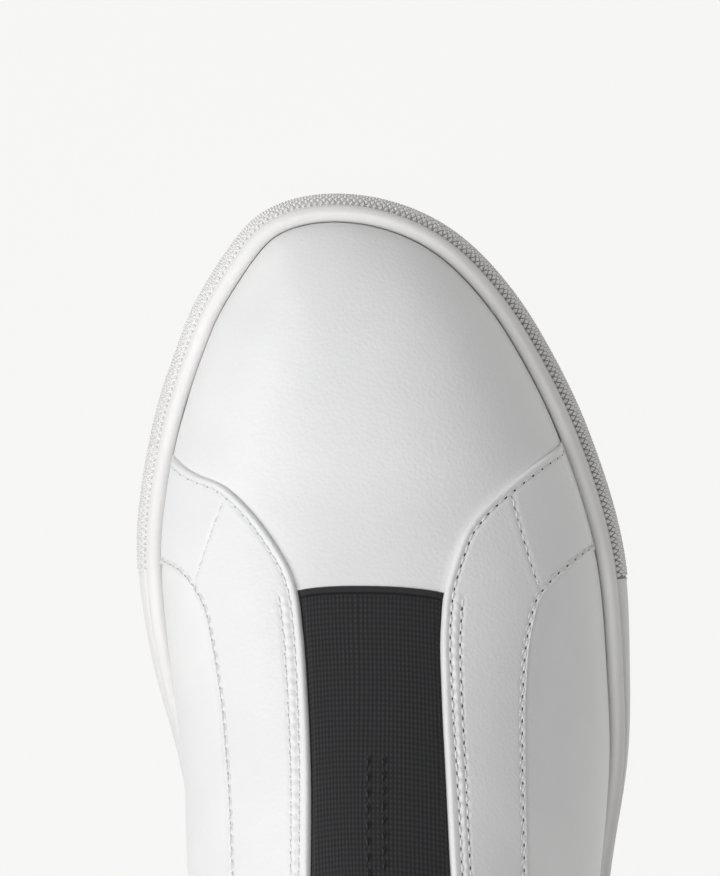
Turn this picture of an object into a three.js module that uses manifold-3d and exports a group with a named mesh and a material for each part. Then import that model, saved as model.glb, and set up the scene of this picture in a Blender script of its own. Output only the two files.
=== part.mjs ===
// A low slip-on sneaker for the right foot, at its real size, empty and standing on its sole.
// It is put together from a rubber cup sole, a hollow leather upper that drops into the cup,
// a leather facing on each side of the throat, an elastic gore between them, and an insole.
// Millimetres. +X is the outer (little toe) side, +Y the toe, +Z up. The ground is z = 0 and the
// origin lies under the middle of the sole's length and width.
import * as THREE from "three";
import { mergeVertices } from "three/addons/utils/BufferGeometryUtils.js";
import Module from "manifold-3d";

const wasm = await Module();
wasm.setup();

// Driving sizes of the sole
const LENGTH = 300;
const BALL_WIDTH = 109.5;
const RIM_HEIGHT_BALL = 24;
const RIM_HEIGHT_HEEL = 29.5;
const FLOOR_HEIGHT_BALL = 10;
const FLOOR_HEIGHT_HEEL = 19;
const TOE_SPRING = 9;
const SPRING_START = 62;
const ARCH_HEIGHT = 1.6;
const ARCH_MIDDLE = -34;
const ARCH_REACH = 38;
const HEEL_BEVEL = 1.8;
const HEEL_BEVEL_REACH = 16;

// The rim of the cup: a round bead, a groove under it, a ledge, and a side that swells out below it
const BEAD_WIDTH = 3.4;
const BEAD_DROP = 3.0;
const GROOVE_DEPTH = 0.7;
const GROOVE_DROP = 3.8;
const LEDGE_OUT = 0.5;
const LEDGE_DROP = 4.6;
const SIDE_FLARE = 3.0;
const SHOULDER_DROP = 7;
const EDGE_ROUND = 1.6;

// The raised band that wraps the toe, whose two ends are shares of the length
const TOE_BAND_STEP = 0.2;
const TOE_BAND_DROP = 5.6;
const TOE_BAND_FOOT = 3.4;
const TOE_BAND_END_MEDIAL = 0.722;
const TOE_BAND_END_LATERAL = 0.718;
const TOE_BAND_RAMP = 0.0012;

// Grooves across the tread, under the forefoot and under the heel
const TREAD_PITCH = 11;
const TREAD_GROOVE_WIDTH = 3.2;
const TREAD_DEPTH = 1.8;
const TREAD_MARGIN = 11;
const TREAD_BEND = 7;
const TREAD_FORE_START = 6;
const TREAD_FORE_COUNT = 8;
const TREAD_HEEL_START = -126;
const TREAD_HEEL_COUNT = 5;

// Driving sizes of the upper
const INSTEP_RISE = 74;
const WALL = 2.2;
const COLLAR_PADDING = 2.6;
const PADDING_FADE = 24;
const PADDING_FRONT = -14;
const SIDE_BULGE = 7.0;
const TUCK = 3.0;
const CREST_SETBACK = 49;
const CREST_EASE = 8;
const COLLAR_TOP_THROAT = 108;
const COLLAR_TOP_SIDE = 65;
const COLLAR_TOP_BACK = 84;

// Overlays, gore and insole
const FACING_THICKNESS = 1.2;
const GORE_THICKNESS = 1.0;
const GORE_CROWN = 1.0;
const GORE_UNDER_FACING = 5.5;
const GORE_HEM_LAP = 2.2;
const INSOLE_THICKNESS = 4.0;
const INSOLE_DISH = 0.8;
const INSOLE_DISH_INSET = 12;
const GAP = 0.3;

// How finely the surfaces are cut up
const STATIONS = 40;
const GIRTH_STEPS = 10;
const BEAD_STEPS = 5;
const SHOULDER_STEPS = 3;
const PATCH_STEPS = 5;
const PATCH_REACH = 6;
const RIM_CUTTER_REACH = 6;
const COLLAR_STEPS = 24;

const HALF_LENGTH = LENGTH / 2;
const HALF_BALL = BALL_WIDTH / 2;

// The shoe along its length, heel to toe. at is a share of the length. half and centre are the sole's
// half width, before the round ends, and its middle line, as shares of half the ball width. flare is a
// share of the side's flare. rim and floor run from 0 at the ball's height to 1 at the heel's. rise is
// the crest above the rim as a share of the instep's, and crest its sideways place as a share of half
// the ball width. square_in and square_out are the section's exponents on the inner and outer side,
// and bulge_in and bulge_out are shares of the side's bulge.
const SECTION_COLUMNS = ["at", "half", "centre", "flare", "rim", "floor", "rise", "crest",
  "square_in", "square_out", "bulge_in", "bulge_out"];
const SECTIONS = [
  [0.00, 1.200, 0.055, 0.55, 1.00, 1.00, 1.170, 0.055, 2.50, 2.50, 0.14, 0.14],
  [0.05, 1.180, 0.055, 0.55, 0.96, 1.00, 1.178, 0.055, 2.50, 2.50, 0.14, 0.14],
  [0.17, 1.010, 0.055, 0.50, 0.82, 0.94, 1.189, 0.056, 2.40, 2.40, 0.20, 0.20],
  [0.33, 0.822, 0.066, 0.30, 0.55, 0.72, 1.176, 0.040, 2.20, 2.20, 0.44, 0.28],
  [0.43, 0.792, 0.076, 0.18, 0.36, 0.44, 1.128, 0.005, 2.10, 2.10, 0.80, 0.42],
  [0.51, 0.833, 0.083, 0.22, 0.27, 0.28, 1.000, -0.030, 2.10, 2.05, 1.00, 0.50],
  [0.59, 0.925, 0.074, 0.45, 0.18, 0.11, 0.831, -0.055, 2.20, 2.05, 0.58, 0.25],
  [0.66, 1.020, 0.025, 0.70, 0.05, 0.00, 0.692, -0.070, 2.30, 2.10, 0.20, 0.11],
  [0.74, 1.118, -0.018, 0.95, 0.00, 0.00, 0.552, -0.085, 2.35, 2.20, 0.07, 0.06],
  [0.83, 1.165, -0.060, 1.00, 0.00, 0.00, 0.431, -0.110, 2.40, 2.30, 0.04, 0.04],
  [0.91, 1.205, -0.098, 1.00, 0.00, 0.00, 0.340, -0.140, 2.40, 2.40, 0.03, 0.03],
  [0.97, 1.300, -0.140, 1.00, 0.00, 0.00, 0.267, -0.170, 2.40, 2.40, 0.00, 0.00],
  [1.00, 1.450, -0.190, 1.00, 0.00, 0.00, 0.230, -0.185, 2.40, 2.40, 0.00, 0.00],
];

// The collar's top line seen from the side. along is a share of half the length, toe positive. top runs
// from 0 at the side's height to 1 at the throat's in front of the low point and at the back's behind it.
const COLLAR_COLUMNS = ["along", "top"];
const COLLAR = [
  [-1.04, 1.06],
  [-0.93, 0.93],
  [-0.80, 0.47],
  [-0.66, 0.10],
  [-0.52, 0.00],
  [-0.38, 0.07],
  [-0.20, 0.42],
  [-0.09, 0.83],
  [0.00, 1.12],
  [0.04, 1.40],
];
const [COLLAR_LOW_ALONG] = COLLAR.find(([, top]) => top === 0);

// Each facing, from the collar forward to the rim. throat_at and throat_v follow its edge on the gore
// and the vamp, edge_at and edge_v its edge above the quarter and along the rim. The at columns are
// shares of the length, the v columns shares of the half girth from the crest to the rim.
const FACING_COLUMNS = ["throat_at", "throat_v", "edge_at", "edge_v"];
const FACING_LATERAL = [
  [0.370, 0.260, 0.370, 0.450],
  [0.450, 0.240, 0.450, 0.436],
  [0.530, 0.218, 0.530, 0.422],
  [0.600, 0.204, 0.600, 0.418],
  [0.650, 0.197, 0.650, 0.430],
  [0.690, 0.196, 0.688, 0.457],
  [0.716, 0.206, 0.708, 0.490],
  [0.736, 0.228, 0.722, 0.558],
  [0.750, 0.248, 0.737, 0.690],
  [0.762, 0.270, 0.745, 0.823],
  [0.777, 0.318, 0.751, 1.000],
  [0.799, 0.445, 0.768, 1.000],
  [0.816, 0.630, 0.790, 1.000],
  [0.824, 0.820, 0.808, 1.000],
  [0.829, 1.000, 0.826, 1.000],
];
const FACING_MEDIAL = [
  [0.370, 0.245, 0.370, 0.460],
  [0.450, 0.218, 0.450, 0.452],
  [0.530, 0.180, 0.530, 0.445],
  [0.600, 0.149, 0.600, 0.446],
  [0.640, 0.138, 0.637, 0.446],
  [0.690, 0.139, 0.675, 0.466],
  [0.717, 0.151, 0.697, 0.489],
  [0.734, 0.174, 0.712, 0.535],
  [0.747, 0.203, 0.724, 0.615],
  [0.760, 0.238, 0.731, 0.760],
  [0.777, 0.300, 0.738, 1.000],
  [0.795, 0.410, 0.758, 1.000],
  [0.803, 0.580, 0.778, 1.000],
  [0.811, 0.768, 0.795, 1.000],
  [0.816, 1.000, 0.813, 1.000],
];
const GORE_FRONT = 0.716;
const GORE_BACK = 0.38;

// Interpolates a column of a table over uneven steps, smoothly and without overshooting much
function sample(table, columns, key, name, at) {
  const keyColumn = columns.indexOf(key);
  const column = columns.indexOf(name);
  const last = table.length - 1;
  const x = (row) => table[row][keyColumn];
  const y = (row) => table[row][column];
  const t = Math.min(Math.max(at, x(0)), x(last));
  let i = 0;
  while (i < last - 1 && t > x(i + 1)) i += 1;
  const slope = (row) => (y(row + 1) - y(row)) / (x(row + 1) - x(row));
  const tangent = (row) => {
    if (row === 0) return slope(0);
    if (row === last) return slope(last - 1);
    const before = x(row) - x(row - 1);
    const after = x(row + 1) - x(row);
    return (slope(row - 1) * after + slope(row) * before) / (before + after);
  };
  const step = x(i + 1) - x(i);
  const u = (t - x(i)) / step;
  const rise = (3 - 2 * u) * u * u;
  return y(i) * (1 - rise) + y(i + 1) * rise
    + step * (tangent(i) * u * (1 - u) * (1 - u) - tangent(i + 1) * u * u * (1 - u));
}

const section = (name, at) => sample(SECTIONS, SECTION_COLUMNS, "at", name, at);
const mix = (low, high, share) => low + (high - low) * share;
const { clamp, smoothstep } = THREE.MathUtils;

// The sole's outer outline in plan. side is -1 on the inner side of the foot and +1 on the outer.
function outline(at, side) {
  const roundEnd = 2 * Math.sqrt(Math.max(at * (1 - at), 0));
  const x = HALF_BALL * (section("centre", at) + side * section("half", at) * roundEnd);
  return [x, (at - 0.5) * LENGTH];
}

// Outward direction of the outline in plan, taken around the round ends
function outward(at, side) {
  const angle = Math.acos(Math.min(Math.max(1 - 2 * at, -1), 1));
  const step = 1e-3;
  const place = (turn) => {
    const here = turn < 0 || turn > Math.PI ? -side : side;
    return outline((1 - Math.cos(turn)) / 2, here);
  };
  const [x0, y0] = place(angle - step);
  const [x1, y1] = place(angle + step);
  const length = Math.hypot(x1 - x0, y1 - y0);
  return [(side * (y1 - y0)) / length, (-side * (x1 - x0)) / length];
}

// A point at a distance inside the outline
function inset(at, side, distance) {
  const [x, y] = outline(at, side);
  const [nx, ny] = outward(at, side);
  return [x - nx * distance, y - ny * distance];
}

const spring = (y) => TOE_SPRING * Math.max(0, (y - SPRING_START) / (HALF_LENGTH - SPRING_START)) ** 2;
const rimHeight = (at) => mix(RIM_HEIGHT_BALL, RIM_HEIGHT_HEEL, section("rim", at))
  + spring((at - 0.5) * LENGTH);
const floorHeight = (y) => mix(FLOOR_HEIGHT_BALL, FLOOR_HEIGHT_HEEL, section("floor", y / LENGTH + 0.5))
  + spring(y);

// The underside: flat under the heel and the forefoot, raised at the arch, the toe and the heel's back
function groundHeight(y) {
  const arch = Math.max(0, 1 - ((y - ARCH_MIDDLE) / ARCH_REACH) ** 2);
  const bevel = Math.max(0, (HEEL_BEVEL_REACH - HALF_LENGTH - y) / HEEL_BEVEL_REACH);
  return ARCH_HEIGHT * arch * arch + HEEL_BEVEL * bevel * bevel + spring(y);
}

// Insets of the side's lines from the sole's outline
const beadOuter = (at) => SIDE_FLARE * section("flare", at);
const cupWall = (at) => beadOuter(at) + BEAD_WIDTH;
const upperFoot = (at) => cupWall(at) + GAP;

// Height of the crest over a place along the shoe
function crestHeight(y) {
  const at = y / LENGTH + 0.5;
  return rimHeight(at) + INSTEP_RISE * section("rise", at);
}

// Where a station's section meets the crest. Near both ends the sections gather at one point.
function spineY(at) {
  const y = (at - 0.5) * LENGTH;
  const reach = 2 * (CREST_SETBACK - CREST_EASE);
  const start = HALF_LENGTH - CREST_EASE - reach;
  const over = Math.min(Math.max((Math.abs(y) - start) / reach, 0), 1);
  const eased = Math.abs(y) > start ? start + reach * (over - (over * over) / 2) : Math.abs(y);
  return Math.sign(y) * eased;
}

// The upper's outer face. v is -1 at the inner rim, 0 on the crest and +1 at the outer rim.
function form(at, v) {
  const side = v < 0 ? -1 : 1;
  const hand = v < 0 ? "in" : "out";
  const [footX, footY] = inset(at, side, upperFoot(at));
  const [nx, ny] = outward(at, side);
  const crestY = spineY(at);
  const crestAt = crestY / LENGTH + 0.5;
  const crestX = HALF_BALL * section("crest", crestAt);
  const angle = ((1 - Math.abs(v)) * Math.PI) / 2;
  const power = 2 / section(`square_${hand}`, at);
  const out = Math.max(Math.cos(angle), 0) ** power;
  const up = Math.sin(angle) ** power;
  const swell = 3.08 * Math.sin(angle) * Math.max(Math.cos(angle), 0) ** 3;
  const bulge = SIDE_BULGE * section(`bulge_${hand}`, at) * swell;
  const x = mix(crestX, footX, out) + nx * bulge;
  const y = mix(crestY, footY, out) + ny * bulge;
  const low = rimHeight(at) - TUCK;
  return new THREE.Vector3(x, y, mix(low, crestHeight(y), up));
}

// Outward normal of the upper's face
function formNormal(at, v) {
  const step = 1e-4;
  const along = form(Math.min(at + step, 1), v).sub(form(Math.max(at - step, 0), v));
  const around = form(at, Math.min(v + step, 1)).sub(form(at, Math.max(v - step, -1)));
  return around.cross(along).normalize();
}

// Height of the collar's top line
function collarHeight(y) {
  const along = y / HALF_LENGTH;
  const share = sample(COLLAR, COLLAR_COLUMNS, "along", "top", along);
  const end = along > COLLAR_LOW_ALONG ? COLLAR_TOP_THROAT : COLLAR_TOP_BACK;
  return mix(COLLAR_TOP_SIDE, end, share);
}

// The wall is padded below the collar's top line, and thin elsewhere
function wallThickness(point) {
  const depth = collarHeight(point.y) - point.z;
  const near = 1 - smoothstep(depth, PADDING_FADE / 3, PADDING_FADE);
  const behindThroat = 1 - smoothstep(point.y, PADDING_FRONT - PADDING_FADE, PADDING_FRONT);
  return WALL + COLLAR_PADDING * near * behindThroat;
}

// Shares of the length where the sections stand, closer together towards the two round ends
function stationList(extra = []) {
  const even = Array.from({ length: STATIONS + 1 }, (_, k) => (1 - Math.cos((Math.PI * k) / STATIONS)) / 2);
  return [...even, ...extra].sort((a, b) => a - b);
}
const soleStations = stationList([TOE_BAND_END_MEDIAL, TOE_BAND_END_LATERAL]
  .flatMap((end) => [end, end + TOE_BAND_RAMP]));

// Makes a solid of corners and triangles: corners that meet are merged and collapsed triangles dropped
function solid(points, triangles) {
  const raw = new THREE.BufferGeometry();
  raw.setFromPoints(points);
  raw.setIndex(triangles.flat());
  return solidOf(raw);
}

function solidOf(geometry) {
  geometry.deleteAttribute("normal");
  geometry.deleteAttribute("uv");
  const merged = mergeVertices(geometry, 1e-3);
  const index = merged.getIndex().array;
  const kept = [];
  for (let i = 0; i < index.length; i += 3) {
    const [a, b, c] = index.slice(i, i + 3);
    if (a !== b && b !== c && c !== a) kept.push(a, b, c);
  }
  return new wasm.Manifold(new wasm.Mesh({
    numProp: 3,
    vertProperties: new Float32Array(merged.getAttribute("position").array),
    triVerts: new Uint32Array(kept),
  }));
}

const quad = (a, b, c, d) => [[a, b, c], [a, c, d]];

// A ring around the shoe: forward along the outer side and back along the inner side
function ring(stations, place) {
  const outer = stations.map((at) => place(at, 1));
  const inner = stations.slice(1, -1).reverse().map((at) => place(at, -1));
  return [...outer, ...inner];
}

// A solid of rings. It is closed straight across the shoe at the first ring, which faces up, and at
// the last, which faces down.
function ringSolid(rings) {
  const width = rings[0].length;
  const triangles = [];
  for (let r = 0; r + 1 < rings.length; r += 1) {
    for (let k = 0; k < width; k += 1) {
      const a = r * width + k;
      const b = r * width + ((k + 1) % width);
      triangles.push(...quad(a, a + width, b + width, b));
    }
  }
  const bottom = (rings.length - 1) * width;
  for (let k = 0; k < width / 2; k += 1) {
    const acrossHere = (width - k) % width;
    const acrossNext = width - k - 1;
    triangles.push(...quad(k, k + 1, acrossNext, acrossHere));
    triangles.push(...quad(bottom + k, bottom + acrossHere, bottom + acrossNext, bottom + k + 1));
  }
  return solid(rings.flat(), triangles);
}

// A place on a ring: a distance inside the outline, and a height
const ringPlace = (distance, height) => (at, side) => {
  const [x, y] = inset(at, side, distance(at, side));
  return new THREE.Vector3(x, y, height(at, y));
};

// A chevron groove across the tread that stops short of the outline. bend points its middle forward.
function makeTreadGroove(y, bend) {
  const [left, right] = [-1, 1].map((side) => inset(y / LENGTH + 0.5, side, TREAD_MARGIN)[0]);
  const middle = (left + right) / 2;
  const half = TREAD_GROOVE_WIDTH / 2;
  const outlinePoints = [[left, -half], [middle, bend - half], [right, -half],
    [right, half], [middle, bend + half], [left, half]];
  const shape = new THREE.Shape(outlinePoints.map(([px, py]) => new THREE.Vector2(px, y + py)));
  const block = new THREE.ExtrudeGeometry(shape, {
    depth: 2 * TREAD_DEPTH + groundHeight(y),
    bevelEnabled: false,
  });
  block.translate(0, 0, -TREAD_DEPTH);
  return solidOf(block);
}

// The cup sole, from the cup's floor over the bead and down the swelling side to the ground
function makeSole() {
  const belowRim = (drop) => (at) => rimHeight(at) - drop;
  const aboveGround = (lift) => (at, y) => groundHeight(y) + lift;
  const plain = (at, side) => {
    const end = side < 0 ? TOE_BAND_END_MEDIAL : TOE_BAND_END_LATERAL;
    return TOE_BAND_STEP * (1 - clamp((at - end) / TOE_BAND_RAMP, 0, 1));
  };
  const radius = BEAD_WIDTH / 2;
  const bead = Array.from({ length: BEAD_STEPS + 1 }, (_, i) => {
    const turn = (Math.PI * i) / BEAD_STEPS;
    return ringPlace((at) => beadOuter(at) + radius * (1 + Math.cos(turn)),
      belowRim(radius * (1 - Math.sin(turn))));
  });
  const ledge = (at) => beadOuter(at) - LEDGE_OUT;
  const shoulder = Array.from({ length: SHOULDER_STEPS + 1 }, (_, i) => {
    const turn = (Math.PI * i) / (2 * SHOULDER_STEPS);
    return ringPlace((at, side) => ledge(at) * (1 - Math.sin(turn)) + plain(at, side),
      belowRim(TOE_BAND_DROP + SHOULDER_DROP * (1 - Math.cos(turn))));
  });
  const places = [
    ringPlace(cupWall, (at, y) => floorHeight(y)),
    ...bead,
    ringPlace(beadOuter, belowRim(BEAD_DROP)),
    ringPlace((at) => beadOuter(at) + GROOVE_DEPTH, belowRim(GROOVE_DROP)),
    ringPlace((at) => ledge(at) + TOE_BAND_STEP, belowRim(LEDGE_DROP)),
    ...shoulder,
    ringPlace(plain, aboveGround(TOE_BAND_FOOT)),
    ringPlace(() => TOE_BAND_STEP, aboveGround(EDGE_ROUND)),
    ringPlace(() => TOE_BAND_STEP + EDGE_ROUND, aboveGround(0)),
  ];
  let sole = ringSolid(places.map((place) => ring(soleStations, place)));
  for (let i = 0; i < TREAD_FORE_COUNT; i += 1) {
    sole = sole.subtract(makeTreadGroove(TREAD_FORE_START + i * TREAD_PITCH, TREAD_BEND));
  }
  for (let i = 0; i < TREAD_HEEL_COUNT; i += 1) {
    sole = sole.subtract(makeTreadGroove(TREAD_HEEL_START + i * TREAD_PITCH, -TREAD_BEND));
  }
  return sole;
}

// The insole lies on the cup's floor inside the upper, a little dished
function makeInsole() {
  const edge = (at) => upperFoot(at) + WALL + GAP;
  const top = GAP + INSOLE_THICKNESS;
  const places = [
    ringPlace((at) => edge(at) + INSOLE_DISH_INSET, (at, y) => floorHeight(y) + top - INSOLE_DISH),
    ringPlace(edge, (at, y) => floorHeight(y) + top),
    ringPlace(edge, (at, y) => floorHeight(y) + GAP),
  ];
  return ringSolid(places.map((place) => ring(stationList(), place)));
}

// The upper's face moved out by a distance, which may depend on the place, and closed by a skirt into
// the cup that ends a clearance above its floor, or further down by drop
function shell(distance, drop = 0) {
  const stations = stationList();
  const place = (at, v) => {
    const point = form(at, v);
    const offset = typeof distance === "function" ? distance(point) : distance;
    return point.addScaledVector(shellNormal(at, v), offset);
  };
  const crest = stations.map((at) => place(at, 0));
  const rings = [[...crest, ...crest.slice(1, -1).reverse()]];
  for (let j = 1; j <= GIRTH_STEPS; j += 1) {
    rings.push(ring(stations, (at, side) => place(at, (side * j) / GIRTH_STEPS)));
  }
  rings.push(ring(stations, (at, side) => {
    const foot = place(at, side);
    return foot.setZ(floorHeight(foot.y) + GAP - drop);
  }));
  return ringSolid(rings);
}

// The direction in which the shell grows: level at the rim, and one direction where two columns meet
function shellNormal(at, v) {
  const nudge = 1e-3;
  if (Math.abs(v) === 1) {
    const [nx, ny] = outward(at, v);
    return new THREE.Vector3(nx, ny, 0);
  }
  const inside = clamp(at, nudge, 1 - nudge);
  if (v === 0) return formNormal(inside, nudge).add(formNormal(inside, -nudge)).normalize();
  if (at === inside) return formNormal(at, v);
  return formNormal(inside, v).add(formNormal(inside, -v)).setX(0).normalize();
}

// A block over a patch of the upper's face, reaching to both sides of it. rows run forward, and each
// holds the [at, v] of its ends from the inner side to the outer.
function patch(rows) {
  const width = PATCH_STEPS + 1;
  const low = [];
  const high = [];
  for (const [from, to] of rows) {
    for (let j = 0; j < width; j += 1) {
      const share = j / PATCH_STEPS;
      const at = mix(from[0], to[0], share);
      const v = mix(from[1], to[1], share);
      const normal = formNormal(at, v);
      low.push(form(at, v).addScaledVector(normal, -PATCH_REACH));
      high.push(form(at, v).addScaledVector(normal, PATCH_REACH));
    }
  }
  const lift = low.length;
  const triangles = [];
  for (let r = 0; r + 1 < rows.length; r += 1) {
    for (let c = 0; c + 1 < width; c += 1) {
      const a = r * width + c;
      triangles.push(...quad(a, a + width, a + width + 1, a + 1));
      triangles.push(...quad(a + lift, a + lift + 1, a + lift + width + 1, a + lift + width));
    }
    const a = r * width;
    const b = a + PATCH_STEPS;
    triangles.push(...quad(a, a + lift, a + lift + width, a + width));
    triangles.push(...quad(b, b + width, b + lift + width, b + lift));
  }
  for (let c = 0; c + 1 < width; c += 1) {
    const end = (rows.length - 1) * width + c;
    triangles.push(...quad(c, c + 1, c + lift + 1, c + lift));
    triangles.push(...quad(end, end + lift, end + lift + 1, end + 1));
  }
  return solid([...low, ...high], triangles);
}

// Everything above the collar's top line
function makeCollarCutter() {
  const front = COLLAR.at(-1)[0] * HALF_LENGTH;
  const back = COLLAR[0][0] * HALF_LENGTH;
  const ceiling = 3 * COLLAR_TOP_THROAT;
  const line = Array.from({ length: COLLAR_STEPS + 1 }, (_, i) => mix(back, front, i / COLLAR_STEPS));
  const points = line.map((y) => new THREE.Vector2(y, collarHeight(y)));
  const shape = new THREE.Shape([...points, new THREE.Vector2(front, ceiling), new THREE.Vector2(back, ceiling)]);
  const block = new THREE.ExtrudeGeometry(shape, { depth: 2 * BALL_WIDTH, bevelEnabled: false });
  block.translate(0, 0, -BALL_WIDTH);
  // the shape's x runs along the shoe and its y upward
  block.applyMatrix4(new THREE.Matrix4().makeBasis(
    new THREE.Vector3(0, 1, 0),
    new THREE.Vector3(0, 0, 1),
    new THREE.Vector3(1, 0, 0),
  ));
  return solidOf(block);
}

// A cup around the sole's rim that ends a clearance above it
function makeRimCutter() {
  const inner = (at) => upperFoot(at) + RIM_CUTTER_REACH;
  const outer = () => -RIM_CUTTER_REACH;
  const top = (at) => rimHeight(at) + GAP;
  const places = [
    ringPlace(inner, () => 0),
    ringPlace(inner, top),
    ringPlace(outer, top),
    ringPlace(outer, () => -FLOOR_HEIGHT_BALL),
  ];
  return ringSolid(places.map((place) => ring(soleStations, place)));
}

// The share of the half girth that a length takes at a place on the crest's sides
function girthShare(at, v, length) {
  const step = 1e-3;
  return (2 * step * length) / form(at, v + step).distanceTo(form(at, v - step));
}

// A patch between the two facings' throat edges, from one share of the length to another. Each edge
// reaches a length past the facing's edge, or stays short of it where that is negative.
function throatPatch(backAt, frontAt, past) {
  const steps = 12;
  const rows = Array.from({ length: steps + 1 }, (_, i) => {
    const at = mix(backAt, frontAt, i / steps);
    return [[FACING_MEDIAL, -1], [FACING_LATERAL, 1]].map(([table, side]) => {
      const v = side * sample(table, FACING_COLUMNS, "throat_at", "throat_v", at);
      return [at, v + side * girthShare(at, v, past)];
    });
  });
  return patch(rows);
}

const upperFace = shell(0);
const collarCutter = makeCollarCutter();
const openingFront = GORE_FRONT - GORE_HEM_LAP / LENGTH;

// The upper: one wall, open underneath, at the collar and along the throat
function makeUpper() {
  const inside = shell((point) => -wallThickness(point), FLOOR_HEIGHT_BALL);
  return upperFace.subtract(inside)
    .subtract(throatPatch(GORE_BACK, openingFront, GORE_UNDER_FACING))
    .subtract(collarCutter);
}

// A facing lies on the upper, from the rim to the collar
function makeFacing(table, side) {
  const rows = table.map(([throatAt, throatV, edgeAt, edgeV]) => {
    const ends = [[throatAt, side * throatV], [edgeAt, side * edgeV]];
    return side < 0 ? ends.reverse() : ends;
  });
  const sheet = shell(GAP + FACING_THICKNESS).subtract(shell(GAP));
  return sheet.intersect(patch(rows)).subtract(makeRimCutter()).subtract(collarCutter);
}

// The elastic gore fills the throat: its edges run under the facings, its middle stands between them,
// and its front hem laps over the vamp
function makeGore() {
  const under = shell(-GORE_THICKNESS);
  const crown = shell(GORE_CROWN);
  const clearance = GAP / LENGTH;
  const hemRoot = openingFront - (2 * GORE_HEM_LAP) / LENGTH;
  const edges = upperFace.subtract(under)
    .intersect(throatPatch(GORE_BACK, openingFront - clearance, GORE_UNDER_FACING - GAP));
  const middle = crown.subtract(under).intersect(throatPatch(GORE_BACK, openingFront - clearance, -GAP));
  const hem = crown.subtract(shell(GAP)).intersect(throatPatch(hemRoot, GORE_FRONT, -GAP));
  return edges.add(middle).add(hem).subtract(collarCutter);
}

const leather = { color: 0xf1f0ef, roughness: 0.45, metalness: 0 };
const rubber = { color: 0xeceae6, roughness: 0.6, metalness: 0 };
const elastic = { color: 0x232326, roughness: 0.9, metalness: 0 };
const footbed = { color: 0xdad8d4, roughness: 0.85, metalness: 0 };

function toMesh(name, shape, finish) {
  const { vertProperties, triVerts } = shape.getMesh();
  const geometry = new THREE.BufferGeometry();
  geometry.setAttribute("position", new THREE.BufferAttribute(new Float32Array(vertProperties), 3));
  geometry.setIndex(new THREE.BufferAttribute(new Uint32Array(triVerts), 1));
  geometry.computeVertexNormals();
  const mesh = new THREE.Mesh(geometry, new THREE.MeshStandardMaterial(finish));
  mesh.name = name;
  return mesh;
}

const sneaker = new THREE.Group();
sneaker.add(toMesh("sole", makeSole(), rubber));
sneaker.add(toMesh("upper", makeUpper(), leather));
sneaker.add(toMesh("facing_medial", makeFacing(FACING_MEDIAL, -1), leather));
sneaker.add(toMesh("facing_lateral", makeFacing(FACING_LATERAL, 1), leather));
sneaker.add(toMesh("elastic_gore", makeGore(), elastic));
sneaker.add(toMesh("insole", makeInsole(), footbed));

export default sneaker;
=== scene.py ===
# A low slip-on sneaker for the right foot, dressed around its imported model.
# Sizes are in millimetres, as in the model's tables, and become metres when a mesh is made.
# +X is the outer side of the foot, +Y the toe and +Z up. The ground is z = 0.
import math

import bmesh
import bpy
import numpy as np
from mathutils import Matrix, Vector, kdtree


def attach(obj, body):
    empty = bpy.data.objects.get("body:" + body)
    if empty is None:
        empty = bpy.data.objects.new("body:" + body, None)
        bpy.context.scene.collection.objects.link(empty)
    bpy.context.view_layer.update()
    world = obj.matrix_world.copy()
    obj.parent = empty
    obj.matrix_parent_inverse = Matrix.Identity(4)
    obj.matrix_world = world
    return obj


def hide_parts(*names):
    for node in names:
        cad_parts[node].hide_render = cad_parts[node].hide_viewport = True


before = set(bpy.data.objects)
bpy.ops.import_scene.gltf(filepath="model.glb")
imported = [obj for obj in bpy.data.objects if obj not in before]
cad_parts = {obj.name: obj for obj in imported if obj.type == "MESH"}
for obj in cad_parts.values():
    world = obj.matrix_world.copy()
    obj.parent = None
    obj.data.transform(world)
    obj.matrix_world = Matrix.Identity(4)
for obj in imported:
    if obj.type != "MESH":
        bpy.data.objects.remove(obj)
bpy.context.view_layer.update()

MM = 0.001

# The shoe's sizes, as in its model
LENGTH = 300.0
HALF_LENGTH = LENGTH / 2
HALF_BALL = 109.5 / 2
RIM_HEIGHT_BALL = 24.0
RIM_HEIGHT_HEEL = 29.5
FLOOR_HEIGHT_BALL = 10.0
FLOOR_HEIGHT_HEEL = 19.0
TOE_SPRING = 9.0
SPRING_START = 62.0
ARCH_HEIGHT = 1.6
ARCH_MIDDLE = -34.0
ARCH_REACH = 38.0
HEEL_BEVEL = 1.8
HEEL_BEVEL_REACH = 16.0
BEAD_WIDTH = 3.4
BEAD_DROP = 3.0
GROOVE_DEPTH = 0.7
LEDGE_OUT = 0.5
LEDGE_DROP = 4.6
SIDE_FLARE = 3.0
SHOULDER_DROP = 7.0
EDGE_ROUND = 1.6
TOE_BAND_STEP = 0.2
TOE_BAND_DROP = 5.6
TOE_BAND_FOOT = 3.4
TOE_BAND_END = {-1: 0.722, 1: 0.718}
TREAD_PITCH = 11.0
TREAD_GROOVE_WIDTH = 3.2
TREAD_DEPTH = 1.8
TREAD_MARGIN = 11.0
TREAD_BEND = 7.0
TREAD_FORE_START = 6.0
TREAD_FORE_COUNT = 8
TREAD_HEEL_START = -126.0
TREAD_HEEL_COUNT = 5
INSTEP_RISE = 74.0
WALL = 2.2
COLLAR_PADDING = 2.6
PADDING_FADE = 24.0
PADDING_FRONT = -14.0
SIDE_BULGE = 7.0
BULGE_SCALE = 3.08
TUCK = 3.0
CREST_SETBACK = 49.0
CREST_EASE = 8.0
COLLAR_TOP_THROAT = 108.0
COLLAR_TOP_SIDE = 65.0
COLLAR_TOP_BACK = 84.0
FACING_THICKNESS = 1.2
GORE_CROWN = 1.0
GORE_THICKNESS = 1.0
GORE_UNDER_FACING = 5.5
GORE_HEM_LAP = 2.2
INSOLE_THICKNESS = 4.0
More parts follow.
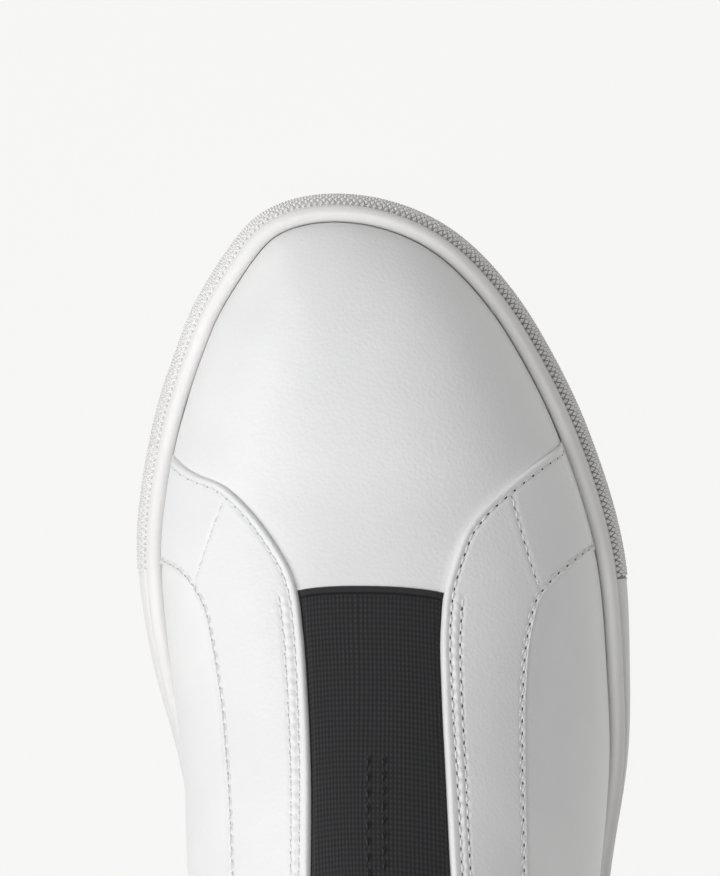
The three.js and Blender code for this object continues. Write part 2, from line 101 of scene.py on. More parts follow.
INSOLE_DISH = 0.8
INSOLE_DISH_INSET = 12.0
INSOLE_ROUND = 1.2
GAP = 0.3
GORE_FRONT = 0.716
OPENING_FRONT = GORE_FRONT - GORE_HEM_LAP / LENGTH

# Finish that only the dressed shoe has
BEAD_CLOSE = 0.2
BAND_LIP = 0.45
BAND_RECESS = 0.3
STUD_PITCH = 1.35
STUD_ROWS = 14
STUD_HEIGHT = 0.42
STUD_FILL = 0.84
STUD_TOP = 0.42
STUD_SINK = 0.12
FACING_LIFT = 0.06
FOLD_RADIUS = 0.75
FOLD_MIDDLE = 0.8
FOLD_WIDTH = 0.7
FOLD_RISE = 0.14
CUT_RADIUS = 0.3
TUCK_REACH = 2.3
ROW_ONE_FRONT = 1.8
ROW_ONE_BACK = 2.2
ROW_ONE_CHANGE = 0.17
ROW_TWO = 4.0
ROW_TWO_END = 0.004
ROW_TWO_FADE = 0.012
ROW_TWO_SHIFT = 1.2
LOWER_ROW = 1.15
LOWER_ROW_SPLIT = 0.32
LOWER_ROW_WIDTH = 0.5
LOWER_ROW_SLANT = 0.28
LOWER_ROW_SHIFT = 0.6
LOWER_THREAD_RADIUS = 0.2
LOWER_RIM_RISE = 0.24
LOWER_RIM_MIDDLE = 0.4
LOWER_RIM_WIDTH = 0.4
GROOVE_WIDTH = 0.42
GROOVE_SINK = 0.2
GROOVE_PUCKER = 0.08
SECOND_SINK = 0.16
SECOND_PUCKER = 0.12
PILLOW_RISE = 0.3
PILLOW_WIDTH = 0.55
SEAM_SINK = 0.22
SEAM_WIDTH = 0.45
SEAM_SWELL = 0.08
SEAM_SWELL_PLACE = 1.3
SEAM_SWELL_WIDTH = 0.8
SEAM_SLANT = 0.3
HEEL_SEAM_SINK = 0.35
HEEL_SEAM_PLACE = 0.055
HEEL_SEAM_WIDTH = 0.55
HEEL_SEAM_START = 95.0
HEEL_SEAM_FULL = 110.0
STITCH_PITCH = 2.5
STITCH_LENGTH = 1.75
STEEP_FEED = 0.66
THREAD_RADIUS = 0.23
THREAD_ARCH = 1.15
THREAD_DIP = 0.45
THREAD_END = 0.55
HOLE_RADIUS = 0.36
HOLE_LONG = 1.25
HOLE_NARROW = 0.8
HOLE_RIM_LIFT = 0.02
HOLE_LIFT = 0.07
HOLE_DEPTH = 0.2
ROW_END = 3.2
COLLAR_ROW_DROP = 6.0
COLLAR_ROW_FRONT = 0.365
RIB_PITCH = 0.76
RIB_SWING = 0.42
WEFT_PITCH = 1.15
WEFT_SWING = 0.3
HEM_WIDTH = 1.6
HEM_LINE = 0.35
HEM_TONE = 0.55
HEM_SINK = 0.42
HEM_SWELL = 0.2
HEM_GROOVE_PLACE = 0.25
HEM_GROOVE_WIDTH = 0.28
HEM_SWELL_WIDTH = 0.8
THROAT_SPAN = (0.34, 0.74)
GORE_BACK_SPAN = (0.30, 0.60)
GORE_RISE = (0.1, 1.5)
GORE_HEIGHT = 0.85 * GORE_CROWN
GORE_LIFT = 0.06
GORE_LEAD = 0.0038
GORE_SAG = 0.0040
GORE_MIDDLE_V = 0.023
GORE_HALF_V = 0.17
GORE_FRONT_ROUND = 0.7
GORE_BACK_ROUND = 0.8
GORE_ROW_COLUMNS = (0.494, 0.567)
GORE_ROW_FRONT = 0.606
GORE_STITCH = {"pitch": 3.0, "length": 2.0, "radius": 0.4}
# Across the shoe, the painted shade on the band's ground darkens between these places
BAND_SHADE_START = -32.0
BAND_SHADE_END = 26.0

# How finely the meshes are divided
BEAD_LINES = 17
GROOVE_LINES = 3
BAND_TOP_RING = BEAD_LINES + GROOVE_LINES + 3
SIDE_ROWS = 44
ROUND_ROWS = 6
SKIRT_ROWS = 4
LONG_ROWS = 360
INNER_COLUMNS = 72
FRONT_STEPS = np.array([0.0, 0.12, 0.3, 0.5, 0.75, 1.0, 1.3, 1.6, 1.85, 2.1, 2.35, 2.6, 2.9, 3.2, 3.5,
                        3.8, 4.0, 4.25, 4.6])
LOW_STEPS = np.array([0.0, 0.1, 0.22, 0.4, 0.7, 0.95, 1.2, 1.5, 1.8, 2.2, 2.8])
PATH_STEPS = 260
DIRECTION_STEP = 0.2
GORE_RIBS = 150
GORE_ROWS = 280
GORE_FRONT_ROWS = 42
GORE_FRONT_SHARE = 0.955

# The camera, the floor and the light
CAMERA_PLACE = (22.0, 96.6, 1000.0)
CAMERA_TARGET = (-5.6, 96.6, 5.0)
FOCAL_PIXELS = 4477.0
FRAME_PIXELS = 876.0
SENSOR_WIDTH = 36.0
FLOOR_TONE = (0.922, 0.922, 0.905)
FLOOR_REACH = 3.0
FLOOR_GLOW = 0.985
SURROUND_GLOW = 0.01
LIGHT_DISTANCE = 1.6
LIGHT_TARGET = (0.0, 0.04, 0.04)
# [name, degrees from the toe round to the outer side, degrees up, metres wide, watts]
SOFTBOXES = [
    ["overhead", 0, 90, 0.9, 13.3],
    ["left", 270, 45, 0.9, 10.3],
    ["left_front", 300, 35, 0.9, 5.4],
]

# The shoe along its length, heel to toe, as in its model: shares of its driving sizes
SECTION_COLUMNS = ["at", "half", "centre", "flare", "rim", "floor", "rise", "crest",
                   "square_in", "square_out", "bulge_in", "bulge_out"]
SECTIONS = dict(zip(SECTION_COLUMNS, np.array([
    [0.00, 1.200, 0.055, 0.55, 1.00, 1.00, 1.170, 0.055, 2.50, 2.50, 0.14, 0.14],
    [0.05, 1.180, 0.055, 0.55, 0.96, 1.00, 1.178, 0.055, 2.50, 2.50, 0.14, 0.14],
    [0.17, 1.010, 0.055, 0.50, 0.82, 0.94, 1.189, 0.056, 2.40, 2.40, 0.20, 0.20],
    [0.33, 0.822, 0.066, 0.30, 0.55, 0.72, 1.176, 0.040, 2.20, 2.20, 0.44, 0.28],
    [0.43, 0.792, 0.076, 0.18, 0.36, 0.44, 1.128, 0.005, 2.10, 2.10, 0.80, 0.42],
    [0.51, 0.833, 0.083, 0.22, 0.27, 0.28, 1.000, -0.030, 2.10, 2.05, 1.00, 0.50],
    [0.59, 0.925, 0.074, 0.45, 0.18, 0.11, 0.831, -0.055, 2.20, 2.05, 0.58, 0.25],
    [0.66, 1.020, 0.025, 0.70, 0.05, 0.00, 0.692, -0.070, 2.30, 2.10, 0.20, 0.11],
    [0.74, 1.118, -0.018, 0.95, 0.00, 0.00, 0.552, -0.085, 2.35, 2.20, 0.07, 0.06],
    [0.83, 1.165, -0.060, 1.00, 0.00, 0.00, 0.431, -0.110, 2.40, 2.30, 0.04, 0.04],
    [0.91, 1.205, -0.098, 1.00, 0.00, 0.00, 0.340, -0.140, 2.40, 2.40, 0.03, 0.03],
    [0.97, 1.300, -0.140, 1.00, 0.00, 0.00, 0.267, -0.170, 2.40, 2.40, 0.00, 0.00],
    [1.00, 1.450, -0.190, 1.00, 0.00, 0.00, 0.230, -0.185, 2.40, 2.40, 0.00, 0.00],
]).T))

# The collar's top line seen from the side: [share of half the length, height from 0 to 1]
COLLAR = np.array([
    [-1.04, 1.06], [-0.93, 0.93], [-0.80, 0.47], [-0.66, 0.10], [-0.52, 0.00],
    [-0.38, 0.07], [-0.20, 0.42], [-0.09, 0.83], [0.00, 1.12], [0.04, 1.40],
])
COLLAR_LOW_ALONG = COLLAR[COLLAR[:, 1].argmin(), 0]

# Soft creases over the vamp: [rise, y, slant, width, |x| where they start, |x| where they are full]
FLEX = [
    [-0.22, 76.0, -0.05, 5.0, 26.0, 40.0],
    [0.16, 86.0, -0.05, 5.0, 26.0, 40.0],
    [-0.16, 97.0, 0.12, 6.0, 22.0, 38.0],
]
FLEX_MIDDLE = -4.0

# Each facing, from the collar forward to the rim: [throat_at, throat_v, edge_at, edge_v]
FACING_ROWS = {
    1: np.array([
        [0.370, 0.260, 0.370, 0.450], [0.450, 0.240, 0.450, 0.436], [0.530, 0.218, 0.530, 0.422],
        [0.600, 0.204, 0.600, 0.418], [0.650, 0.197, 0.650, 0.430], [0.690, 0.196, 0.688, 0.457],
        [0.716, 0.206, 0.708, 0.490], [0.736, 0.228, 0.722, 0.558], [0.750, 0.248, 0.737, 0.690],
        [0.762, 0.270, 0.745, 0.823], [0.777, 0.318, 0.751, 1.000], [0.799, 0.445, 0.768, 1.000],
        [0.816, 0.630, 0.790, 1.000], [0.824, 0.820, 0.808, 1.000], [0.829, 1.000, 0.826, 1.000],
    ]),
    -1: np.array([
        [0.370, 0.245, 0.370, 0.460], [0.450, 0.218, 0.450, 0.452], [0.530, 0.180, 0.530, 0.445],
        [0.600, 0.149, 0.600, 0.446], [0.640, 0.138, 0.637, 0.446], [0.690, 0.139, 0.675, 0.466],
        [0.717, 0.151, 0.697, 0.489], [0.734, 0.174, 0.712, 0.535], [0.747, 0.203, 0.724, 0.615],
        [0.760, 0.238, 0.731, 0.760], [0.777, 0.300, 0.738, 1.000], [0.795, 0.410, 0.758, 1.000],
        [0.803, 0.580, 0.778, 1.000], [0.811, 0.768, 0.795, 1.000], [0.816, 1.000, 0.813, 1.000],
    ]),
}

# The seam that joins each facing's two leathers, from the front row of stitches to its lower edge
FACING_SEAM = {
    1: np.array([[0.7883, 0.443], [0.7702, 0.447], [0.7461, 0.460], [0.7268, 0.477], [0.7178, 0.491]]),
    -1: np.array([[0.7814, 0.411], [0.7723, 0.424], [0.7477, 0.465], [0.7122, 0.532]]),
}


# The form

def mix(low, high, share):
    return low + (high - low) * share


def smoothstep(value, low, high):
    share = np.clip((value - low) / (high - low), 0, 1)
    return share * share * (3 - 2 * share)


def hill(distance, width):
    """1 at no distance, falling softly to 0."""
    return np.exp(-(distance / width) ** 2)


def rounded(distance, radius):
    """A quarter circle, from 0 at an edge to 1 at a radius from it."""
    return np.sqrt(1 - (1 - np.clip(distance / radius, 0, 1)) ** 2)


def lengths_along(points):
    """Lengths from the first point on, along the first axis."""
    steps = np.linalg.norm(np.diff(points, axis=0), axis=-1)
    return np.concatenate([np.zeros((1,) + steps.shape[1:]), np.cumsum(steps, axis=0)])


def spline(keys, values, at):
    """Interpolates over uneven steps, smoothly and without overshooting much."""
    step = np.diff(keys)
    slope = np.diff(values) / step
    inner = (slope[:-1] * step[1:] + slope[1:] * step[:-1]) / (step[:-1] + step[1:])
    tangent = np.concatenate([slope[:1], inner, slope[-1:]])
    t = np.clip(at, keys[0], keys[-1])
    i = np.clip(np.searchsorted(keys, t, side="left") - 1, 0, len(step) - 1)
    u = (t - keys[i]) / step[i]
    rise = (3 - 2 * u) * u * u
    bend = tangent[i] * u * (1 - u) ** 2 - tangent[i + 1] * u * u * (1 - u)
    return values[i] * (1 - rise) + values[i + 1] * rise + step[i] * bend


def section(name, at):
    return spline(SECTIONS["at"], SECTIONS[name], at)


def outline(at, side):
    """The sole's outer outline in plan."""
    round_end = 2 * np.sqrt(np.maximum(at * (1 - at), 0))
    x = HALF_BALL * (section("centre", at) + side * section("half", at) * round_end)
    return np.stack([x, (at - 0.5) * LENGTH], -1)


def outward(at, side):
    """Outward direction of the outline in plan, taken around the round ends."""
    angle = np.arccos(np.clip(1 - 2 * at, -1, 1))
    step = 1e-3

    def place(turn):
        here = np.where((turn < 0) | (turn > math.pi), -side, side)
        return outline((1 - np.cos(turn)) / 2, here)

    along = place(angle + step) - place(angle - step)
    along /= np.linalg.norm(along, axis=-1, keepdims=True)
    return np.stack([side * along[..., 1], -side * along[..., 0]], -1)


def inset(at, side, distance):
    """A point at a distance inside the outline."""
    return outline(at, side) - outward(at, side) * np.asarray(distance)[..., None]


def spring(y):
    return TOE_SPRING * np.maximum(0, (y - SPRING_START) / (HALF_LENGTH - SPRING_START)) ** 2


def rim_height(at):
    return mix(RIM_HEIGHT_BALL, RIM_HEIGHT_HEEL, section("rim", at)) + spring((at - 0.5) * LENGTH)


def floor_height(y):
    return mix(FLOOR_HEIGHT_BALL, FLOOR_HEIGHT_HEEL, section("floor", y / LENGTH + 0.5)) + spring(y)


def ground_height(y):
    arch = np.maximum(0, 1 - ((y - ARCH_MIDDLE) / ARCH_REACH) ** 2)
    bevel = np.maximum(0, (HEEL_BEVEL_REACH - HALF_LENGTH - y) / HEEL_BEVEL_REACH)
    return ARCH_HEIGHT * arch ** 2 + HEEL_BEVEL * bevel ** 2 + spring(y)


def bead_outer(at):
    return SIDE_FLARE * section("flare", at)


def cup_wall(at):
    return bead_outer(at) + BEAD_WIDTH


def upper_foot(at):
    return cup_wall(at) + GAP


def crest_height(y):
    at = y / LENGTH + 0.5
    return rim_height(at) + INSTEP_RISE * section("rise", at)


def spine_y(at):
    """Where a station's section meets the crest."""
    y = (at - 0.5) * LENGTH
    reach = 2 * (CREST_SETBACK - CREST_EASE)
    start = HALF_LENGTH - CREST_EASE - reach
    over = np.clip((np.abs(y) - start) / reach, 0, 1)
    return np.sign(y) * np.where(np.abs(y) > start, start + reach * (over - over ** 2 / 2), np.abs(y))


def form(at, v):
    """The upper's outer face. v is -1 at the inner rim, 0 on the crest and +1 at the outer rim."""
    at, v = np.broadcast_arrays(np.asarray(at, float), np.asarray(v, float))
    side = np.where(v < 0, -1.0, 1.0)
    foot = inset(at, side, upper_foot(at))
    direction = outward(at, side)
    crest_y = spine_y(at)
    crest_at = crest_y / LENGTH + 0.5
    crest_x = HALF_BALL * section("crest", crest_at)
    angle = (1 - np.minimum(np.abs(v), 1)) * math.pi / 2
    cosine = np.maximum(np.cos(angle), 0)
    inner = v < 0
    power = 2 / np.where(inner, section("square_in", at), section("square_out", at))
    bulge = SIDE_BULGE * np.where(inner, section("bulge_in", at), section("bulge_out", at))
    bulge = bulge * BULGE_SCALE * np.sin(angle) * cosine ** 3
    out = cosine ** power
    up = np.sin(angle) ** power
    x = mix(crest_x, foot[..., 0], out) + direction[..., 0] * bulge
    y = mix(crest_y, foot[..., 1], out) + direction[..., 1] * bulge
    return np.stack([x, y, mix(rim_height(at) - TUCK, crest_height(y), up)], -1)


def unit(vectors):
    return vectors / np.maximum(np.linalg.norm(vectors, axis=-1, keepdims=True), 1e-12)


def slopes(at, v):
    """How the form moves with at and with v."""
    step = 1e-4
    at_low, at_high = np.clip(at - step, 0, 1), np.clip(at + step, 0, 1)
    v_low, v_high = np.clip(v - step, -1, 1), np.clip(v + step, -1, 1)
    along = (form(at_high, v) - form(at_low, v)) / (at_high - at_low)[..., None]
    around = (form(at, v_high) - form(at, v_low)) / (v_high - v_low)[..., None]
    return along, around


def form_normal(at, v):
    """Outward direction of the form: level at the rim, and one direction where two columns meet."""
    at, v = np.broadcast_arrays(np.asarray(at, float), np.asarray(v, float))
    nudge = 1e-3
    inside = np.clip(at, nudge, 1 - nudge)
    calm = np.where(v < 0, -1, 1) * np.clip(np.abs(v), nudge, 1 - nudge)
    along, around = slopes(inside, calm)
    normal = unit(np.cross(around, along))
    mirrored_along, mirrored_around = slopes(inside, -calm)
    ends = normal + unit(np.cross(mirrored_around, mirrored_along))
    ends[..., 0] = 0
    normal = np.where((at != inside)[..., None], unit(ends), normal)
    level = outward(at, np.where(v < 0, -1.0, 1.0))
    level = np.concatenate([level, np.zeros(level.shape[:-1] + (1,))], -1)
    return np.where((np.abs(v) > 1 - 1e-9)[..., None], level, normal)


def collar_height(y):
    along = y / HALF_LENGTH
    share = spline(COLLAR[:, 0], COLLAR[:, 1], along)
    end = np.where(along > COLLAR_LOW_ALONG, COLLAR_TOP_THROAT, COLLAR_TOP_BACK)
    return mix(COLLAR_TOP_SIDE, end, share)


def collar_depth(points):
    """How far points lie below the collar's line."""
    return collar_height(points[..., 1]) - points[..., 2]


def wall_thickness(points):
    near = 1 - smoothstep(collar_depth(points), PADDING_FADE / 3, PADDING_FADE)
    behind = 1 - smoothstep(points[..., 1], PADDING_FRONT - PADDING_FADE, PADDING_FRONT)
    return WALL + COLLAR_PADDING * near * behind


def girth_speed(at, v):
    """Millimetres over the form for each unit of v."""
    step = 1e-3
    low, high = np.clip(v - step, -1, 1), np.clip(v + step, -1, 1)
    return np.linalg.norm(form(at, high) - form(at, low), axis=-1) / (high - low)


def crossing(inside, low, high, rounds=40):
    """Halves a span until it meets the place where inside(share) turns true."""
    for _ in range(rounds):
        middle = (low + high) / 2
        found = inside(middle)
        high = np.where(found, middle, high)
        low = np.where(found, low, middle)
    return (low + high) / 2


def slide(at, v, way):
    """Moves places over the form by vectors in millimetres."""
    along, around = slopes(at, v)
    aa, bb, ab = [(p * q).sum(-1) for p, q in [(along, along), (around, around), (along, around)]]
    ra, rb = (way * along).sum(-1), (way * around).sum(-1)
    size = aa * bb - ab * ab
    return at + (ra * bb - rb * ab) / size, v + (rb * aa - ra * ab) / size


class Line:
    """A polyline that gives distances to it and lengths along it."""

    def __init__(self, points, step=0.15):
        lengths = lengths_along(points)
        self.along = np.linspace(0, lengths[-1], max(int(lengths[-1] / step), 2))
        self.points = np.stack([np.interp(self.along, lengths, points[:, k]) for k in range(3)], -1)
        self.tree = kdtree.KDTree(len(self.points))
        for index, point in enumerate(self.points):
            self.tree.insert(point, index)
        self.tree.balance()

    def nearest(self, points):
        flat = points.reshape(-1, 3)
        found = [self.tree.find(point) for point in flat]
        distance = np.array([hit[2] for hit in found]).reshape(points.shape[:-1])
        along = self.along[np.array([hit[1] for hit in found])].reshape(points.shape[:-1])
        return distance, along


# Meshes

def add_object(name, data):
    made = bpy.data.objects.new(name, data)
    bpy.context.scene.collection.objects.link(made)
    return made


def quads(rows, cols, first=0):
    """Faces of a grid of rows and columns, the outward side where columns turn right to rows."""
    r, c = np.meshgrid(np.arange(rows - 1), np.arange(cols - 1), indexing="ij")
    a = first + (r * cols + c).ravel()
    return np.stack([a, a + 1, a + cols + 1, a + cols], -1)


def make_piece(name, points, faces, materials, slot, stands_for=None, face_materials=None,
               sharp=38, coordinates=None):
    """One closed mesh object, in millimetres, that rides on the shoe."""
    mesh = bpy.data.meshes.new(name)
    mesh.from_pydata((np.asarray(points) * MM).tolist(), [], [list(map(int, face)) for face in faces])
    for material in materials:
        mesh.materials.append(material)
    if face_materials is not None:
        mesh.polygons.foreach_set("material_index", np.asarray(face_materials, dtype=np.int32))
    if coordinates is not None:
        layer = mesh.attributes.new("weave", "FLOAT_VECTOR", "POINT")
        layer.data.foreach_set("vector", np.asarray(coordinates, dtype=np.float32).ravel())
    work = bmesh.new()
    work.from_mesh(mesh)
    bmesh.ops.remove_doubles(work, verts=work.verts, dist=2e-6)
    bmesh.ops.dissolve_degenerate(work, edges=work.edges, dist=1e-7)
    bmesh.ops.recalc_face_normals(work, faces=work.faces)
    work.to_mesh(mesh)
    work.free()
    mesh.shade_smooth()
    mesh.set_sharp_from_angle(angle=math.radians(sharp))
    piece = add_object(name, mesh)
    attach(piece, "root")
    if stands_for:
        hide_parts(stands_for)
    return piece


def closed_sheets(name, outer, inner, materials, slot, **options):
    """A closed solid of grids that meet: outer and inner faces, and walls where the outer ends."""
    points, faces, first = [], [], 0
    for grid in outer:
        faces.append(quads(*grid.shape[:2], first))
        points.append(grid.reshape(-1, 3))
        first += grid.shape[0] * grid.shape[1]
    points = np.concatenate(points)
    under = np.concatenate([grid.reshape(-1, 3) for grid in inner])
    faces = np.concatenate(faces)
    _, keep, back = np.unique(np.round(points, 3), axis=0, return_index=True, return_inverse=True)
    back = back.ravel()
    points, under, faces = points[keep], under[keep], back[faces]
    edges = np.concatenate([faces[:, [k, (k + 1) % 4]] for k in range(4)])
    edges = edges[edges[:, 0] != edges[:, 1]]
    seen = {(a, b) for a, b in edges.tolist()}
    border = [(a, b) for a, b in seen if (b, a) not in seen]
    count = len(points)
    all_faces = [[k for i, k in enumerate(face) if k != face[i - 1]] for face in faces.tolist()]
    all_faces = [face for face in all_faces if len(set(face)) > 2]
    outer_count = len(all_faces)
    all_faces += [[k + count for k in reversed(face)] for face in all_faces]
    all_faces += [[b, a, a + count, b + count] for a, b in border]
    kinds = [0] * outer_count + [1] * (len(all_faces) - outer_count)
    coordinates = options.pop("coordinates", None)
    if coordinates is not None:
        flat = np.concatenate([grid.reshape(-1, 3) for grid in coordinates])[keep]
        coordinates = np.concatenate([flat, flat])
    return make_piece(name, np.concatenate([points, under]), all_faces, materials, slot,
                      face_materials=kinds, coordinates=coordinates, **options)


# Materials

def new_material(name, base, roughness, **sockets):
    material = bpy.data.materials.new(name)
    material.use_nodes = True
    shader = material.node_tree.nodes["Principled BSDF"]
    shader.inputs["Base Color"].default_value = (*base, 1)
    shader.inputs["Roughness"].default_value = roughness
    for socket, value in sockets.items():
        shader.inputs[socket.replace("_", " ")].default_value = value
    return material, material.node_tree, shader


def node(tree, kind, inputs=None, **settings):
    made = tree.nodes.new(kind)
    for key, value in settings.items():
        setattr(made, key, value)
    for key, value in (inputs or {}).items():
        made.inputs[key].default_value = value
    return made


def shade_by(tree, shader, factor, dark, light, low=0.3, high=0.7):
    """Colours a surface between two tones by a factor."""
    ramp = node(tree, "ShaderNodeValToRGB")
    ramp.color_ramp.elements[0].position = low
    ramp.color_ramp.elements[1].position = high
    ramp.color_ramp.elements[0].color = (*dark, 1)
    ramp.color_ramp.elements[1].color = (*light, 1)
    tree.links.new(factor, ramp.inputs["Fac"])
    tree.links.new(ramp.outputs["Color"], shader.inputs["Base Color"])


def roughen(tree, shader, factor, low, high):
    span = node(tree, "ShaderNodeMapRange", {"To Min": low, "To Max": high})
    tree.links.new(factor, span.inputs["Value"])
    tree.links.new(span.outputs["Result"], shader.inputs["Roughness"])


def bump(tree, shader, layers):
    """Stacks bumps: each is (height output, depth in metres, strength)."""
    last = None
    for height, depth, strength in layers:
        made = node(tree, "ShaderNodeBump", {"Distance": depth, "Strength": strength})
        tree.links.new(height, made.inputs["Height"])
        if last:
            tree.links.new(last.outputs["Normal"], made.inputs["Normal"])
        last = made
    tree.links.new(last.outputs["Normal"], shader.inputs["Normal"])


def noise(tree, place, size, detail=3, roughness=0.55):
    made = node(tree, "ShaderNodeTexNoise",
                {"Scale": 1 / (size * MM), "Detail": detail, "Roughness": roughness})
    tree.links.new(place, made.inputs["Vector"])
    return made.outputs["Fac"]


def object_place(tree):
    return node(tree, "ShaderNodeTexCoord").outputs["Object"]


def leather_material():
    """Smooth white calf leather: fine grain, faint clouding and a thin satin finish."""
    material, tree, shader = new_material("white_leather", (0.84, 0.84, 0.845), 0.42,
                                          Coat_Weight=0.12, Coat_Roughness=0.32)
    place = object_place(tree)
    cells = node(tree, "ShaderNodeTexVoronoi", {"Scale": 1 / (0.9 * MM), "Randomness": 1.0})
    tree.links.new(place, cells.inputs["Vector"])
    clouds = noise(tree, place, 28, 2)
    grain = noise(tree, place, 0.7, 4, 0.6)
    shade_by(tree, shader, clouds, (0.815, 0.815, 0.822), (0.86, 0.86, 0.862))
    roughen(tree, shader, grain, 0.36, 0.5)
    bump(tree, shader, [(noise(tree, place, 9, 2), 0.0003, 0.16), (cells.outputs["Distance"], 0.0001, 0.5),
                        (grain, 0.0001, 0.5)])
    return material


def rubber_material(name, dark, light, roughness):
    material, tree, shader = new_material(name, light, roughness)
    place = object_place(tree)
    shade_by(tree, shader, noise(tree, place, 22, 3), dark, light)
    roughen(tree, shader, noise(tree, place, 1.6, 3), roughness - 0.06, roughness + 0.08)
    bump(tree, shader, [(noise(tree, place, 0.35, 3), 0.00003, 0.3)])
    return material


def calculate(tree, operation, *terms):
    """A math node over numbers and the outputs of other nodes."""
    made = node(tree, "ShaderNodeMath", operation=operation)
    for socket, term in zip(made.inputs, terms):
        if isinstance(term, float):
            socket.default_value = term
        else:
            tree.links.new(term, socket)
    return made.outputs[0]


def painted_band_shade_material():
    """Painted shade on the white rubber between the studs: pale on the lit inner side, dark on the outer
    one, where shade falls between them.
    """
    shaded, lit = (0.22, 0.215, 0.205), (0.80, 0.795, 0.785)
    material, tree, shader = new_material("painted_shade_band_rubber", shaded, 0.6)
    split = node(tree, "ShaderNodeSeparateXYZ")
    tree.links.new(object_place(tree), split.inputs["Vector"])
    share = node(tree, "ShaderNodeMapRange",
                 {"From Min": BAND_SHADE_START * MM, "From Max": BAND_SHADE_END * MM})
    tree.links.new(split.outputs["X"], share.inputs["Value"])
    shade_by(tree, shader, share.outputs["Result"], lit, shaded, 0.0, 1.0)
    return material


def elastic_material():
    """Black woven elastic: upright ribs crossed by rows, with a painted highlight on top of each thread."""
    material, tree, shader = new_material("black_elastic", (0.02, 0.02, 0.022), 0.85,
                                          Sheen_Weight=0.08, Sheen_Roughness=0.5)
    weave = node(tree, "ShaderNodeAttribute", attribute_name="weave", attribute_type="GEOMETRY")
    split = node(tree, "ShaderNodeSeparateXYZ")
    tree.links.new(weave.outputs["Vector"], split.inputs["Vector"])
    across, along, ahead = split.outputs

    def wave(place, pitch, swing):
        turn = calculate(tree, "MULTIPLY", place, 2 * math.pi / pitch)
        return calculate(tree, "MULTIPLY_ADD", calculate(tree, "COSINE", turn), swing, 1 - swing)

    # Each thread's crown is lighter, a painted highlight; the same pattern also gives the weave's relief
    knots = calculate(tree, "MULTIPLY", wave(across, RIB_PITCH, RIB_SWING),
                      wave(along, WEFT_PITCH, WEFT_SWING))
    woven = calculate(tree, "GREATER_THAN", ahead, HEM_WIDTH + HEM_LINE)
    hem = calculate(tree, "LESS_THAN", ahead, HEM_WIDTH - 0.1)
    seen = calculate(tree, "MULTIPLY_ADD", knots, woven, calculate(tree, "MULTIPLY", hem, HEM_TONE))
    shade_by(tree, shader, seen, (0.004, 0.004, 0.005), (0.034, 0.034, 0.037), 0.0, 1.0)
    bump(tree, shader, [(seen, 0.00014, 0.7)])
    return material


def cloth_material(name, dark, light, size):
    material, tree, shader = new_material(name, light, 0.85, Sheen_Weight=0.15)
    place = object_place(tree)
    shade_by(tree, shader, noise(tree, place, size * 6, 3), dark, light)
    bump(tree, shader, [(noise(tree, place, size, 3), 0.00012, 0.4)])
    return material


def thread_material(name, base, twist):
    material, tree, shader = new_material(name, base, 0.55, Sheen_Weight=0.1)
    place = object_place(tree)
    fibres = noise(tree, place, twist, 2)
    shade_by(tree, shader, fibres, tuple(0.82 * c for c in base), base)
    bump(tree, shader, [(fibres, 0.00005, 0.5)])
    return material


LEATHER = leather_material()
RUBBER = rubber_material("white_rubber", (0.79, 0.785, 0.775), (0.83, 0.825, 0.815), 0.5)
STUD_RUBBER = rubber_material("white_rubber_studs", (0.77, 0.765, 0.755), (0.82, 0.815, 0.805), 0.55)
BAND_PAINTED_SHADE = painted_band_shade_material()
ELASTIC = elastic_material()
LINING = cloth_material("white_lining", (0.64, 0.635, 0.62), (0.70, 0.695, 0.68), 0.8)
FOOTBED = cloth_material("pale_footbed", (0.60, 0.595, 0.58), (0.67, 0.665, 0.65), 0.7)
THREAD = thread_material("white_thread", (0.83, 0.83, 0.82), 0.4)
# Needle holes are dark discs of painted shade, for the shadow in each hole's depth
HOLE_SHADE = thread_material("needle_hole_painted_shade", (0.045, 0.043, 0.043), 0.4)
# A paler copy of the needle holes' painted shade, for the lit inner side and the collar
LIT_HOLE_SHADE = thread_material("lit_needle_hole_painted_shade", (0.50, 0.495, 0.49), 0.4)
BLACK_THREAD = thread_material("black_thread", (0.002, 0.002, 0.002), 0.4)


# The sole

def turn_share(turn):
    """The share of the length that a turn around the shoe reaches, from the heel round the outer side."""
    return (1 - np.cos(turn)) / 2


def side_lines(at, side):
    """[inset, height] of the lines of the sole's side below the ledge, from the top down."""
    end = TOE_BAND_END[side]
    plain = np.where(at < end, TOE_BAND_STEP, np.where(at <= end + BAND_LIP / LENGTH, 0.0, BAND_RECESS))
    ledge = bead_outer(at) - LEDGE_OUT
    rim = rim_height(at)
    ground = ground_height((at - 0.5) * LENGTH)
    lines = []
    for turn in np.linspace(0, math.pi / 2, 13):
        drop = TOE_BAND_DROP + SHOULDER_DROP * (1 - math.cos(turn))
        lines.append((ledge * (1 - math.sin(turn)) + plain, rim - drop))
    shoulder_end = rim - TOE_BAND_DROP - SHOULDER_DROP
    for share in (0.35, 0.7, 1.0):
        lines.append((plain, mix(shoulder_end, ground + TOE_BAND_FOOT, share)))
    return lines


